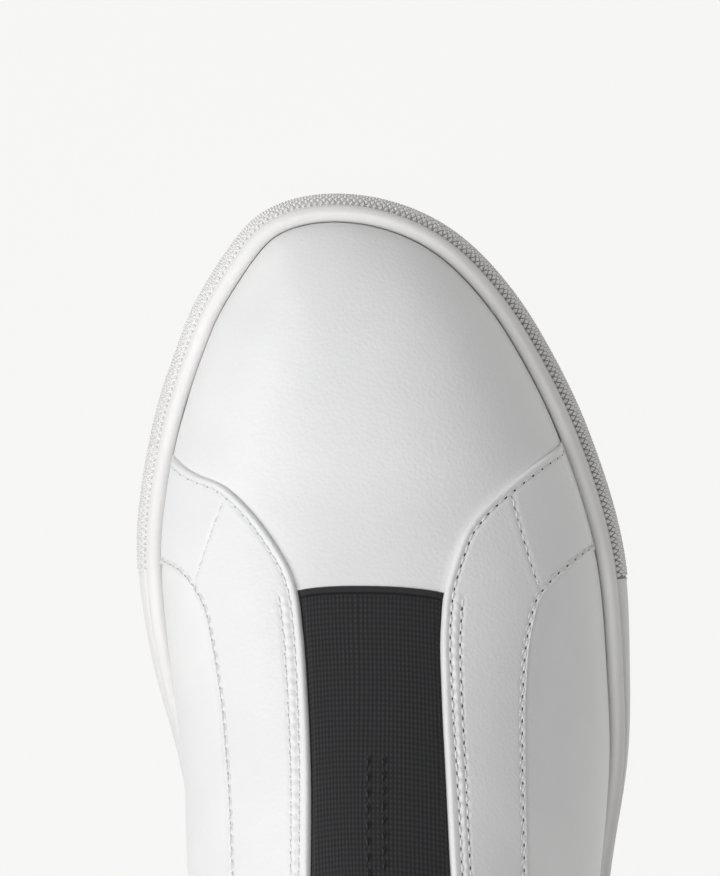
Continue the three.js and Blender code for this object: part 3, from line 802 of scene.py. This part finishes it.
def sole_rings(stations):
    """Rings of the sole from the cup's floor over the bead and down the side to the ground."""
    def lines(at, side):
        rim = rim_height(at)
        ground = ground_height((at - 0.5) * LENGTH)
        radius = BEAD_WIDTH / 2
        made = [(cup_wall(at) + BEAD_CLOSE, floor_height((at - 0.5) * LENGTH))]
        for turn in np.linspace(0, math.pi, BEAD_LINES):
            close = BEAD_CLOSE * max(math.cos(turn), 0)
            made.append((bead_outer(at) + radius * (1 + math.cos(turn)) + close,
                         rim - radius * (1 - math.sin(turn))))
        made.append((bead_outer(at), rim - BEAD_DROP))
        for share in np.linspace(0.25, 0.75, GROOVE_LINES):
            dip = math.sin(math.pi * share)
            made.append((bead_outer(at) + GROOVE_DEPTH * dip, rim - mix(BEAD_DROP, LEDGE_DROP, share)))
        made.append((bead_outer(at) - LEDGE_OUT + TOE_BAND_STEP, rim - LEDGE_DROP))
        made += side_lines(at, side)
        for turn in np.linspace(0, math.pi / 2, 6):
            made.append((TOE_BAND_STEP + EDGE_ROUND * (1 - math.cos(turn)),
                         ground + EDGE_ROUND * (1 - math.sin(turn))))
        return made

    rings = []
    outer_lines, inner_lines = lines(stations, 1), lines(stations[1:-1], -1)
    for (out_in, out_z), (in_in, in_z) in zip(outer_lines, inner_lines):
        outer = np.column_stack([inset(stations, 1.0, out_in), out_z])
        inner = np.column_stack([inset(stations[1:-1], -1.0, in_in), in_z])[::-1]
        rings.append(np.concatenate([outer, inner]))
    return rings


def ring_faces(count, width):
    """Faces of stacked rings, closed straight across the shoe at the first and the last."""
    faces = []
    for r in range(count - 1):
        for k in range(width):
            a, b = r * width + k, r * width + (k + 1) % width
            faces.append([a, a + width, b + width, b])
    bottom = (count - 1) * width
    for k in range(width // 2):
        here, after = (width - k) % width, width - k - 1
        faces.append([k, k + 1, after, here])
        faces.append([bottom + k, bottom + here, bottom + after, bottom + k + 1])
    return [[k for i, k in enumerate(face) if k != face[i - 1]] for face in faces]


def band_faces(stations, faces, first_line, last_line):
    """1 for the faces of the toe band's ground, which take the painted shade, 0 for the others."""
    at = np.concatenate([stations, stations[-2:0:-1]])
    side = np.concatenate([np.ones(len(stations)), -np.ones(len(stations) - 2)])
    ends = np.where(side > 0, TOE_BAND_END[1], TOE_BAND_END[-1]) + BAND_LIP / LENGTH
    inside = at > ends
    width = len(at)
    return [int(all(first_line * width <= k < (last_line + 1) * width and inside[k % width] for k in face))
            for face in faces]


def tread_cutter():
    """Chevron grooves across the tread, under the forefoot and under the heel."""
    points, faces = [], []
    places = [(TREAD_FORE_START + i * TREAD_PITCH, TREAD_BEND) for i in range(TREAD_FORE_COUNT)]
    places += [(TREAD_HEEL_START + i * TREAD_PITCH, -TREAD_BEND) for i in range(TREAD_HEEL_COUNT)]
    half = TREAD_GROOVE_WIDTH / 2
    for y, bend in places:
        at = np.array(y / LENGTH + 0.5)
        left, right = inset(at, -1.0, TREAD_MARGIN)[0], inset(at, 1.0, TREAD_MARGIN)[0]
        middle = (left + right) / 2
        plan = [(left, -half), (middle, bend - half), (right, -half),
                (right, half), (middle, bend + half), (left, half)]
        first = len(points)
        top = float(TREAD_DEPTH + ground_height(np.array(y)))
        points += [(x, y + dy, -TREAD_DEPTH) for x, dy in plan]
        points += [(x, y + dy, top) for x, dy in plan]
        faces += [[first + k, first + (k + 1) % 6, first + 6 + (k + 1) % 6, first + 6 + k] for k in range(6)]
        faces += [[first + k for k in (1, 0, 5, 4)], [first + k for k in (2, 1, 4, 3)]]
        faces += [[first + 6 + k for k in (0, 1, 4, 5)], [first + 6 + k for k in (1, 2, 3, 4)]]
    mesh = bpy.data.meshes.new("tread_cutter")
    mesh.from_pydata((np.array(points) * MM).tolist(), [], faces)
    return add_object("tread_cutter", mesh)


def make_sole():
    even = turn_share(np.linspace(0, math.pi, 281))
    ends = [end + shift for end in TOE_BAND_END.values()
            for shift in (-1e-4, 1e-6, BAND_LIP / LENGTH, BAND_LIP / LENGTH + 1e-4)]
    stations = np.array(sorted([*even, *ends]))
    rings = sole_rings(stations)
    faces = ring_faces(len(rings), len(rings[0]))
    # The toe band's ground between the studs takes the painted shade
    kinds = band_faces(stations, faces, BAND_TOP_RING, BAND_TOP_RING + len(side_lines(stations, 1)) - 1)
    sole = make_piece("sole_body", np.concatenate(rings), faces, [RUBBER, BAND_PAINTED_SHADE], "rubber", "sole",
                      face_materials=kinds, sharp=32)
    cutter = tread_cutter()
    cut = sole.modifiers.new("tread", "BOOLEAN")
    cut.operation = "DIFFERENCE"
    cut.solver = "MANIFOLD"
    cut.object = cutter
    bpy.context.view_layer.update()
    made = bpy.data.meshes.new_from_object(sole.evaluated_get(bpy.context.evaluated_depsgraph_get()))
    sole.modifiers.clear()
    sole.data = made
    made.set_sharp_from_angle(angle=math.radians(32))
    bpy.data.objects.remove(cutter)


def band_surface(turn, share):
    """Points of the toe band: turn goes round the shoe, share down from its top to its foot."""
    points = np.empty(turn.shape + (3,))
    for side in (1, -1):
        here = turn <= math.pi if side == 1 else turn > math.pi
        at = turn_share(turn[here])
        at_on_band = np.maximum(at, TOE_BAND_END[side] + 2 * BAND_LIP / LENGTH)
        stack = []
        for distance, height in side_lines(at_on_band, side):
            stack.append(np.column_stack([inset(at, float(side), distance), height]))
        stack = np.array(stack)
        lengths = lengths_along(stack)
        for k, column in enumerate(np.flatnonzero(here)):
            reach = share.ravel()[column] * lengths[-1, k]
            points[column] = [np.interp(reach, lengths[:, k], stack[:, k, axis]) for axis in range(3)]
    return points


def make_studs():
    """Staggered diamond studs over the toe band, each a low four-sided stump."""
    first = math.acos(1 - 2 * (TOE_BAND_END[1] + 1.6 * BAND_LIP / LENGTH))
    last = 2 * math.pi - math.acos(1 - 2 * (TOE_BAND_END[-1] + 1.6 * BAND_LIP / LENGTH))
    fine = np.linspace(first, last, 1200)
    lengths = lengths_along(band_surface(fine, np.full(fine.shape, 0.7)))
    count = int(lengths[-1] / STUD_PITCH)
    pitch = lengths[-1] / count
    vertices = []
    for row in range(STUD_ROWS):
        stagger = 0.5 if row % 2 == 0 else 1.0
        number = count if row % 2 == 0 else count - 1
        turn = np.interp((np.arange(number) + stagger) * pitch, lengths, fine)
        share = np.full(turn.shape, (row + 0.5) / STUD_ROWS)
        centre = band_surface(turn, share)
        along = unit(band_surface(turn + 1e-3, share) - band_surface(turn - 1e-3, share))
        fall = band_surface(turn, share + 0.02) - band_surface(turn, share - 0.02)
        down = unit(fall)
        normal = unit(np.cross(down, along))
        tall = (STUD_FILL * np.linalg.norm(fall, axis=-1) / 0.04 / STUD_ROWS)[:, None]
        wide = STUD_FILL * pitch / 2
        corners = []
        for level, reach in ((-STUD_SINK, 1.0), (STUD_HEIGHT, STUD_TOP)):
            for a, b in ((1, 0), (0, 1), (-1, 0), (0, -1)):
                corners.append(centre + (along * a * wide + down * b * tall) * reach + normal * level)
        vertices.append(np.stack(corners, 1).reshape(-1, 3))
    vertices = np.concatenate(vertices)
    faces = []
    for base in range(0, len(vertices), 8):
        faces.append([base + 3, base + 2, base + 1, base])
        faces.append([base + 4, base + 5, base + 6, base + 7])
        faces += [[base + k, base + (k + 1) % 4, base + 4 + (k + 1) % 4, base + 4 + k] for k in range(4)]
    make_piece("toe_band_studs", vertices, faces, [STUD_RUBBER], "rubber", sharp=20)


# The insole

def make_insole():
    stations = turn_share(np.linspace(0.004, math.pi - 0.004, 200))
    across = (1 - np.cos(np.linspace(0, math.pi, 65))) / 2
    edge = upper_foot(stations) + WALL + GAP
    left = inset(stations, -1.0, edge)[:, None, :]
    right = inset(stations, 1.0, edge)[:, None, :]
    plan = mix(left, right, across[None, :, None])
    edge_line = np.concatenate([left[:, 0], right[::-1, 0]])
    border = Line(np.column_stack([edge_line, np.zeros(len(edge_line))]))
    flat = np.concatenate([plan, np.zeros(plan.shape[:2] + (1,))], -1)
    depth, _ = border.nearest(flat)
    floor = floor_height(plan[..., 1])
    dish = INSOLE_DISH * smoothstep(depth, 0, INSOLE_DISH_INSET)
    top = floor + GAP + INSOLE_THICKNESS - dish - INSOLE_ROUND * (1 - rounded(depth, INSOLE_ROUND))
    upper = np.concatenate([plan, top[..., None]], -1)
    lower = np.concatenate([plan, (floor + GAP)[..., None]], -1)
    closed_sheets("insole_pad", [upper], [lower], [FOOTBED, FOOTBED], "footbed", stands_for="insole")


# The upper

def throat_v(at, side):
    """v of the facing's edge along the throat."""
    rows = FACING_ROWS[side]
    return side * spline(rows[:, 0], rows[:, 1], at)


def throat_edge(at, side, past):
    """v of the throat's edge, moved past the facing's edge by a length."""
    v = throat_v(at, side)
    return np.abs(v + side * past / girth_speed(at, v))


def top_edge(at, side):
    """v where the upper's wall ends: at the collar's line, or along the throat."""
    collar = crossing(lambda v: collar_depth(form(at, side * v)) >= 0,
                      np.zeros_like(at), np.ones_like(at))
    return np.maximum(collar, throat_edge(at, side, GORE_UNDER_FACING))


def wall_columns(at, side, fade):
    """Outer and inner places of the wall from its top edge to the rim and down into the cup."""
    top = top_edge(at, side)
    speed = girth_speed(at, side * top)
    half = wall_thickness(form(at, side * top)) / 2
    turns = np.linspace(0, math.pi / 2, ROUND_ROWS + 1)
    v_list = [top + half * (1 - math.cos(turn)) / speed for turn in turns]
    rest = np.linspace(0, 1, SIDE_ROWS + 1)[1:]
    v_list += [mix(v_list[-1], 1.0, share) for share in rest]
    v = np.minimum(np.stack(v_list, -1), 1.0)
    rounding = np.ones(v.shape[1])
    rounding[:ROUND_ROWS + 1] = np.sin(turns)
    return v, mix(rounding[None, :], 1.0, fade[:, None])


def upper_relief(points):
    """Soft dips and swells of the leather, given in the shoe's own sizes."""
    x, y = points[..., 0], points[..., 1]
    seam = -HEEL_SEAM_SINK * hill(x - HALF_BALL * HEEL_SEAM_PLACE, HEEL_SEAM_WIDTH)
    seam = seam * smoothstep(-y, HEEL_SEAM_START, HEEL_SEAM_FULL)
    flex = sum(rise * hill(y - place + slant * x, width) * smoothstep(np.abs(x - FLEX_MIDDLE), start, full)
               for rise, place, slant, width, start, full in FLEX)
    return seam + flex


def wall_grids(at, v, rounding):
    """Outer and inner grids over at (rows) and v (columns)."""
    spread = np.broadcast_to(at[:, None], v.shape)
    points = form(spread, v)
    normal = form_normal(spread, v)
    half = wall_thickness(points) / 2
    lift = upper_relief(points)
    outer = points + normal * (half * (rounding - 1) + lift)[..., None]
    inner = points - normal * (half * (1 + rounding))[..., None]
    return outer, inner


def with_skirt(grid, side_sign):
    """Adds the rows that hang down into the cup, a clearance above its floor."""
    foot = grid[:, -1 if side_sign > 0 else 0]
    bottom = floor_height(foot[:, 1]) + GAP
    rows = []
    for share in np.linspace(0, 1, SKIRT_ROWS + 1)[1:]:
        row = foot.copy()
        row[:, 2] = mix(foot[:, 2], bottom, share)
        rows.append(row)
    rows = np.stack(rows, 1)
    return np.concatenate([grid, rows], 1) if side_sign > 0 else np.concatenate([rows[:, ::-1], grid], 1)


def make_upper():
    front_turn = math.acos(1 - 2 * OPENING_FRONT)
    back = turn_share(np.linspace(0, front_turn, 210))
    front = turn_share(np.linspace(front_turn, math.pi, 120))
    outer_grids, inner_grids, edge_v = [], [], {}
    for side in (1, -1):
        fade = smoothstep(back, OPENING_FRONT - 0.03, OPENING_FRONT - 0.004)
        v, rounding = wall_columns(back, side, fade)
        edge_v[side] = v[-1]
        v = side * v
        if side < 0:
            v, rounding = v[:, ::-1], rounding[:, ::-1]
        outer, inner = wall_grids(back, v, rounding)
        outer_grids.append(with_skirt(outer, side))
        inner_grids.append(with_skirt(inner, side))
    middle = np.linspace(-edge_v[-1][0], edge_v[1][0], 40)[1:-1]
    first = np.concatenate([-edge_v[-1][::-1], middle, edge_v[1]])
    even = (first - first[::-1]) / 2
    blend = smoothstep(front, OPENING_FRONT, 1)[:, None]
    v = mix(first[None, :], even[None, :], blend)
    outer, inner = wall_grids(front, v, np.ones(v.shape))
    outer = with_skirt(with_skirt(outer, 1), -1)
    inner = with_skirt(with_skirt(inner, 1), -1)
    outer_grids.append(outer)
    inner_grids.append(inner)
    closed_sheets("upper_shell", outer_grids, inner_grids, [LEATHER, LINING], "leather",
                  stands_for="upper", sharp=60)


# Stitches

class Stitching:
    """Threads, and needle holes as dark discs of painted shade, gathered into one mesh each."""

    def __init__(self, hole):
        self.hole = hole
        self.threads = ([], [])
        self.holes = ([], [])

    def add_thread(self, centres, radii, normal):
        points, faces = self.threads
        count, sides = len(centres), 6
        along = unit(np.gradient(centres, axis=0))
        across = unit(np.cross(along, normal))
        up = np.cross(across, along)
        first = len(points)
        for k in range(count):
            for i in range(sides):
                turn = 2 * math.pi * i / sides
                points.append(centres[k] + (across[k] * math.cos(turn) + up[k] * math.sin(turn)) * radii[k])
        for k in range(count - 1):
            for i in range(sides):
                a, b = first + k * sides + i, first + k * sides + (i + 1) % sides
                faces.append([a, b, b + sides, a + sides])
        faces.append([first + i for i in range(sides)][::-1])
        faces.append([first + (count - 1) * sides + i for i in range(sides)])

    # Each needle hole is a small disc that carries the hole's painted shade
    def add_hole_shade(self, centre, along, across, normal):
        points, faces = self.holes
        first, sides = len(points), 8
        for i in range(sides):
            turn = 2 * math.pi * i / sides
            points.append(centre + along * HOLE_RADIUS * HOLE_LONG * math.cos(turn)
                          + across * HOLE_RADIUS * HOLE_NARROW * math.sin(turn) + normal * HOLE_RIM_LIFT)
        points.append(centre + normal * HOLE_LIFT)
        points.append(centre - normal * HOLE_DEPTH)
        for i in range(sides):
            j = (i + 1) % sides
            faces.append([first + i, first + j, first + sides])
            faces.append([first + j, first + i, first + sides + 1])

    def row(self, points, normals, pitch=STITCH_PITCH, length=STITCH_LENGTH, radius=THREAD_RADIUS,
            slant=0.0, holes=True, shift=0.0):
        """A row of stitches over a line of surface points, each from one hole to the next."""
        steps = np.diff(points, axis=0)
        feed = np.maximum(np.linalg.norm(steps[:, :2], axis=1), STEEP_FEED * np.linalg.norm(steps, axis=1))
        lengths = np.concatenate([[0], np.cumsum(feed)])

        def at(length_along):
            place = np.array([np.interp(length_along, lengths, points[:, k]) for k in range(3)])
            normal = np.array([np.interp(length_along, lengths, normals[:, k]) for k in range(3)])
            return place, unit(normal)

        count = max(round((lengths[-1] - shift) / pitch), 1)
        pitch = (lengths[-1] - shift) / count
        for i in range(count):
            start = shift + i * pitch
            middle = start + pitch / 2
            centres, radii = [], []
            for share in np.linspace(0, 1, 6):
                place, normal = at(middle + (share - 0.5) * length)
                ahead, _ = at(middle + (share - 0.5) * length + DIRECTION_STEP)
                behind, _ = at(middle + (share - 0.5) * length - DIRECTION_STEP)
                across = unit(np.cross(ahead - behind, normal))
                arch = math.sin(math.pi * share)
                centres.append(place + normal * radius * (THREAD_ARCH * arch - THREAD_DIP)
                               + across * slant * (share - 0.5))
                radii.append(radius * mix(THREAD_END, 1.0, arch))
            _, normal = at(middle)
            self.add_thread(np.array(centres), radii, normal)
            if holes:
                place, normal = at(start)
                ahead, _ = at(start + DIRECTION_STEP)
                behind, _ = at(max(start - DIRECTION_STEP, 0))
                along = unit(ahead - behind)
                self.add_hole_shade(place, along, unit(np.cross(along, normal)), normal)

    def finish(self, name, thread, slot):
        parts = [("threads", self.threads, thread), ("holes", self.holes, self.hole)]
        for part, (points, faces), material in parts:
            if points:
                make_piece(f"{name}_{part}", np.array(points), faces, [material], slot, sharp=60)


# The facings

def row_one(at):
    """The first row's distance from the fold, which grows along the throat."""
    return mix(ROW_ONE_FRONT, ROW_ONE_BACK, smoothstep(GORE_FRONT - at, 0.0, ROW_ONE_CHANGE))


class Facing:
    """One leather overlay, from the collar forward to the rim."""

    def __init__(self, side):
        self.side = side
        self.rows = FACING_ROWS[side]
        throat = form(self.rows[:, 0], side * self.rows[:, 1])
        edge = form(self.rows[:, 2], side * self.rows[:, 3])
        self.keys = lengths_along((throat + edge) / 2)
        self.throat_reach = lengths_along(throat)
        self.edge_reach = lengths_along(edge)
        self.rim_key = self.keys[np.flatnonzero(self.rows[:, 3] >= 1)[0]]
        self.throat_line = Line(self.edge_points(0.0, self.keys[-1]))
        self.lower_line = Line(self.edge_points(1.0, self.rim_key))
        seam = FACING_SEAM[side]
        steps = np.linspace(0, len(seam) - 1, 60)
        index = np.arange(len(seam), dtype=float)
        self.seam_at = spline(index, seam[:, 0], steps)
        self.seam_v = side * spline(index, seam[:, 1], steps)
        self.seam_line = Line(form(self.seam_at, self.seam_v))

    def place(self, key, share):
        """[at, v] at a key along the facing and a share across it, 0 on the throat's edge."""
        columns = []
        for reach in (self.throat_reach, self.edge_reach):
            along = np.interp(key, self.keys, reach)
            columns += [spline(reach, self.rows[:, len(columns)], along),
                        spline(reach, self.rows[:, len(columns) + 1], along)]
        at = mix(columns[0], columns[2], share)
        return at, self.side * np.minimum(mix(columns[1], columns[3], share), 1.0)

    def edge_points(self, share, last_key):
        keys = np.linspace(0, last_key, 500)
        return form(*self.place(keys, share))

    def offset(self, points, at):
        """How far the facing's face stands off the form at points of the form."""
        from_front, along = self.throat_line.nearest(points)
        from_low, along_low = self.lower_line.nearest(points)
        from_seam, _ = self.seam_line.nearest(points)
        pucker = 0.5 + 0.5 * np.cos(2 * math.pi * along / STITCH_PITCH)
        pucker_low = 0.5 + 0.5 * np.cos(2 * math.pi * along_low / STITCH_PITCH)
        doubled = 1 - smoothstep(at, GORE_FRONT - ROW_TWO_FADE, GORE_FRONT)
        first = row_one(at)
        height = FACING_LIFT + FACING_THICKNESS + FOLD_RISE * hill(from_front - FOLD_MIDDLE, FOLD_WIDTH)
        height -= (GROOVE_SINK + GROOVE_PUCKER * pucker) * hill(from_front - first, GROOVE_WIDTH)
        height -= doubled * (SECOND_SINK + SECOND_PUCKER * pucker) * hill(from_front - ROW_TWO, GROOVE_WIDTH)
        between_rows = hill(from_front - (first + ROW_TWO) / 2, PILLOW_WIDTH)
        height += doubled * PILLOW_RISE * (1 - pucker) * between_rows
        height -= (GROOVE_SINK + GROOVE_PUCKER * pucker_low) * hill(from_low - LOWER_ROW, LOWER_ROW_WIDTH)
        height += LOWER_RIM_RISE * hill(from_low - LOWER_RIM_MIDDLE, LOWER_RIM_WIDTH)
        height -= SEAM_SINK * hill(from_seam, SEAM_WIDTH)
        height += SEAM_SWELL * hill(from_seam - SEAM_SWELL_PLACE, SEAM_SWELL_WIDTH)
        rounding = rounded(from_front, FOLD_RADIUS) * rounded(from_low, CUT_RADIUS)
        rounding = rounding * rounded(collar_depth(points), FOLD_RADIUS)
        side = np.full(at.shape, float(self.side))
        from_foot = ((inset(at, side, upper_foot(at)) - points[..., :2]) * outward(at, side)).sum(-1)
        tuck = smoothstep(from_foot, 0, TUCK_REACH)
        return FACING_LIFT + mix(0.1, height - FACING_LIFT, tuck) * rounding

    def start_key(self, share):
        """The key where the facing meets the collar's line."""
        def below(key):
            return collar_depth(form(*self.place(key, share))) >= 0

        return crossing(below, np.zeros_like(share), np.full_like(share, self.keys[6]))

    def inner_path(self, share, first_key, last_key, distance):
        """Places along the facing at a distance inside one of its edges."""
        keys = np.linspace(first_key, last_key, PATH_STEPS)
        at, v = self.place(keys, share)
        along = unit(np.gradient(form(at, v), axis=0))
        target = form(*self.place(keys, 0.5))
        toward = target - form(at, v)
        toward = unit(toward - along * (toward * along).sum(-1, keepdims=True))
        for _ in range(4):
            at, v = slide(at, v, toward * np.reshape(distance, (-1, 1)) / 4)
            v = np.clip(v, -1, 1)
        return at, v

    def surface(self, at, v):
        """Points of the facing's face, with the form's normals."""
        points = form(at, v)
        normal = form_normal(at, v)
        return points + normal * self.offset(points, at)[..., None], normal

    def make(self, name, node_name):
        even = np.linspace(0, 1, LONG_ROWS)[:, None]
        middle = mix(self.start_key(np.array([0.5])), self.keys[-1], even)
        across = form(*self.place(middle, 1.0)) - form(*self.place(middle, 0.0))
        width = np.linalg.norm(across, axis=-1)
        front = np.minimum(1 / width, 0.45 / FRONT_STEPS[-1]) * FRONT_STEPS
        low = np.minimum(1 / width, 0.3 / LOW_STEPS[-1]) * LOW_STEPS
        inner = mix(front[:, -1:], 1 - low[:, -1:], np.linspace(0, 1, INNER_COLUMNS)[None, 1:-1])
        shares = np.concatenate([front, inner, 1 - low[:, ::-1]], 1)
        steps = np.linspace(0, 1, 60)
        start = np.interp(shares, steps, self.start_key(steps))
        keys = mix(start, self.keys[-1], even)
        at, v = self.place(keys, shares)
        outer, normal = self.surface(at, v)
        inner = form(at, v) + normal * FACING_LIFT
        if self.side > 0:
            outer, inner = outer[:, ::-1], inner[:, ::-1]
        closed_sheets(name, [outer], [inner], [LEATHER, LEATHER], "leather", stands_for=node_name, sharp=55)

    def stitch(self, stitching):
        last = self.keys[-1]
        start = float(self.start_key(np.array([0.1]))[0])
        throat_at, _ = self.place(np.linspace(start, last, PATH_STEPS), 0.0)
        at, v = self.inner_path(0.0, start, last, row_one(throat_at))
        above = form(at, v)[:, 2] > rim_height(at) + ROW_END
        stitching.row(*self.surface(at[above], v[above]))
        at, v = self.inner_path(0.0, start, last, ROW_TWO)
        behind = at < GORE_FRONT - ROW_TWO_END
        stitching.row(*self.surface(at[behind], v[behind]), shift=ROW_TWO_SHIFT)
        start = float(self.start_key(np.array([0.95]))[0])
        for split in (-LOWER_ROW_SPLIT, LOWER_ROW_SPLIT):
            at, v = self.inner_path(1.0, start, self.rim_key, LOWER_ROW + split)
            above = form(at, v)[:, 2] > rim_height(at) + ROW_END
            stitching.row(*self.surface(at[above], v[above]), slant=LOWER_ROW_SLANT,
                          radius=LOWER_THREAD_RADIUS, holes=split < 0,
                          shift=LOWER_ROW_SHIFT if split > 0 else 0.0)
        stitching.row(*self.surface(self.seam_at, self.seam_v), slant=SEAM_SLANT)


def make_facings():
    for side, name in ((-1, "medial"), (1, "lateral")):
        facing = Facing(side)
        facing.make(f"{name}_facing", f"facing_{name}")
        # The lateral side's needle holes get the dark painted shade, the lit medial side's the paler one
        stitching = Stitching(HOLE_SHADE if side > 0 else LIT_HOLE_SHADE)
        facing.stitch(stitching)
        stitching.finish(f"{name}_facing", THREAD, "leather")


def make_collar_row():
    """One row of stitches under the collar's top line, round the heel."""
    at = turn_share(np.linspace(math.acos(1 - 2 * COLLAR_ROW_FRONT), 0.02, 160))
    places, normals = [], []
    for side in (1, -1):
        here = at if side > 0 else at[::-1]
        v = top_edge(here, side)
        v = side * (v + COLLAR_ROW_DROP / girth_speed(here, side * v))
        places.append(form(here, v))
        normals.append(form_normal(here, v))
    stitching = Stitching(LIT_HOLE_SHADE)
    stitching.row(np.concatenate(places), np.concatenate(normals))
    stitching.finish("collar", THREAD, "leather")


# The elastic gore

def gore_grid():
    """[at, v, how far ahead the front edge lies] over the gore, from the collar to its front."""
    share = np.linspace(0, 1, GORE_RIBS)

    def v_at(at):
        low, high = [side * throat_edge(at, side, GORE_UNDER_FACING - 2 * GAP) for side in (-1, 1)]
        return mix(low, high, share)

    back = crossing(lambda at: collar_depth(form(at, v_at(at))) >= 0,
                    *[np.full(GORE_RIBS, end) for end in GORE_BACK_SPAN])
    middle = v_at(np.full(GORE_RIBS, GORE_FRONT))
    front = GORE_FRONT + GORE_LEAD - GORE_SAG * ((middle - GORE_MIDDLE_V) / GORE_HALF_V) ** 2
    spread = np.concatenate([np.linspace(0, GORE_FRONT_SHARE, GORE_ROWS - GORE_FRONT_ROWS),
                             np.linspace(GORE_FRONT_SHARE, 1, GORE_FRONT_ROWS + 1)[1:]])
    at = mix(back[None, :], front[None, :], spread[:, None])
    return at, v_at(at), front[None, :] * LENGTH - at * LENGTH


def between_facings(at, v, points):
    """1 where the gore lies free between the facings, falling to 0 under them."""
    line_at = np.linspace(*THROAT_SPAN, 400)
    inside = np.ones(at.shape)
    for side in (-1, 1):
        distance, _ = Line(form(line_at, throat_v(line_at, side))).nearest(points)
        free = side * (throat_v(at, side) - v) > 0
        inside = inside * smoothstep(np.where(free, distance, -distance), *GORE_RISE)
    return inside


def make_gore():
    at, v, ahead = gore_grid()
    points = form(at, v)
    normal = form_normal(at, v)
    depth = collar_depth(points)
    inside = between_facings(at, v, points)
    top = mix(0.0, GORE_HEIGHT, inside)
    top -= HEM_SINK * hill(ahead - HEM_WIDTH - HEM_GROOVE_PLACE, HEM_GROOVE_WIDTH) * inside
    top += HEM_SWELL * hill(ahead - HEM_WIDTH / 2, HEM_SWELL_WIDTH) * inside
    over_vamp = at > OPENING_FRONT - GAP / LENGTH
    bottom = np.where(over_vamp, GORE_LIFT, -GORE_THICKNESS)
    ends = np.minimum(rounded(ahead, GORE_FRONT_ROUND), rounded(depth, GORE_BACK_ROUND))
    top = np.maximum(mix(bottom, top, ends), bottom + 0.02)
    outer = points + normal * top[..., None]
    inner = points + normal * bottom[..., None]
    share = np.linspace(0, 1, GORE_RIBS)
    across = (share - 0.5) * np.linalg.norm(points[:, -1] - points[:, 0], axis=1)[:, None]
    lengths = lengths_along(points)
    coordinates = np.stack([across, lengths[-1] - lengths, ahead], -1)
    closed_sheets("elastic_band", [outer], [inner], [ELASTIC, ELASTIC], "elastic",
                  stands_for="elastic_gore", coordinates=[coordinates], sharp=70)
    stitching = Stitching(LIT_HOLE_SHADE)
    for column in GORE_ROW_COLUMNS:
        pick = int(column * (GORE_RIBS - 1))
        here = (at[:, pick] < GORE_ROW_FRONT) & (depth[:, pick] > 3)
        stitching.row((outer[:, pick] + normal[:, pick] * 0.05)[here][::-1], normal[here, pick][::-1],
                      holes=False, **GORE_STITCH)
    stitching.finish("elastic_band", BLACK_THREAD, "elastic")


# The camera, the floor and the light

def make_camera():
    """A long lens almost straight above the forefoot, with the toe up."""
    place = Vector(CAMERA_PLACE) * MM
    target = Vector(CAMERA_TARGET) * MM
    back = (place - target).normalized()
    right = Vector((0, 1, 0)).cross(back).normalized()
    up = back.cross(right)
    data = bpy.data.cameras.new("camera")
    data.sensor_width = SENSOR_WIDTH
    data.lens = FOCAL_PIXELS * SENSOR_WIDTH / FRAME_PIXELS
    data.clip_start = 0.01
    camera = add_object("camera", data)
    camera.matrix_world = Matrix.Translation(place) @ Matrix((right, up, back)).transposed().to_4x4()
    bpy.context.scene.camera = camera


def make_floor():
    material, _, _ = new_material("pale_floor", (0.02, 0.02, 0.02), 1.0, Specular_IOR_Level=0.0,
                                  Emission_Color=(*FLOOR_TONE, 1), Emission_Strength=FLOOR_GLOW)
    mesh = bpy.data.meshes.new("floor")
    corners = [(x * FLOOR_REACH, y * FLOOR_REACH, 0) for x, y in ((-1, -1), (1, -1), (1, 1), (-1, 1))]
    mesh.from_pydata(corners, [], [[0, 1, 2, 3]])
    mesh.materials.append(material)
    add_object("floor", mesh)


def area_light(name, place, size, watts):
    data = bpy.data.lights.new(name, "AREA")
    data.shape = "SQUARE"
    data.size = size
    data.energy = watts
    light = add_object(name, data)
    light.location = place
    light.rotation_euler = (Vector(LIGHT_TARGET) - place).to_track_quat("-Z", "Y").to_euler()


def make_light():
    scene = bpy.context.scene
    scene.view_settings.view_transform = "Standard"
    world = bpy.data.worlds.new("studio")
    world.use_nodes = True
    background = world.node_tree.nodes["Background"]
    background.inputs["Color"].default_value = (*FLOOR_TONE, 1)
    background.inputs["Strength"].default_value = SURROUND_GLOW
    scene.world = world
    for name, azimuth, elevation, size, watts in SOFTBOXES:
        turn, lift = math.radians(azimuth), math.radians(elevation)
        place = Vector((math.sin(turn) * math.cos(lift), math.cos(turn) * math.cos(lift), math.sin(lift)))
        area_light(name, place * LIGHT_DISTANCE, size, watts)


make_camera()
make_sole()
make_studs()
make_insole()
make_upper()
make_facings()
make_collar_row()
make_gore()
make_floor()
make_light()

bpy.context.view_layer.update()
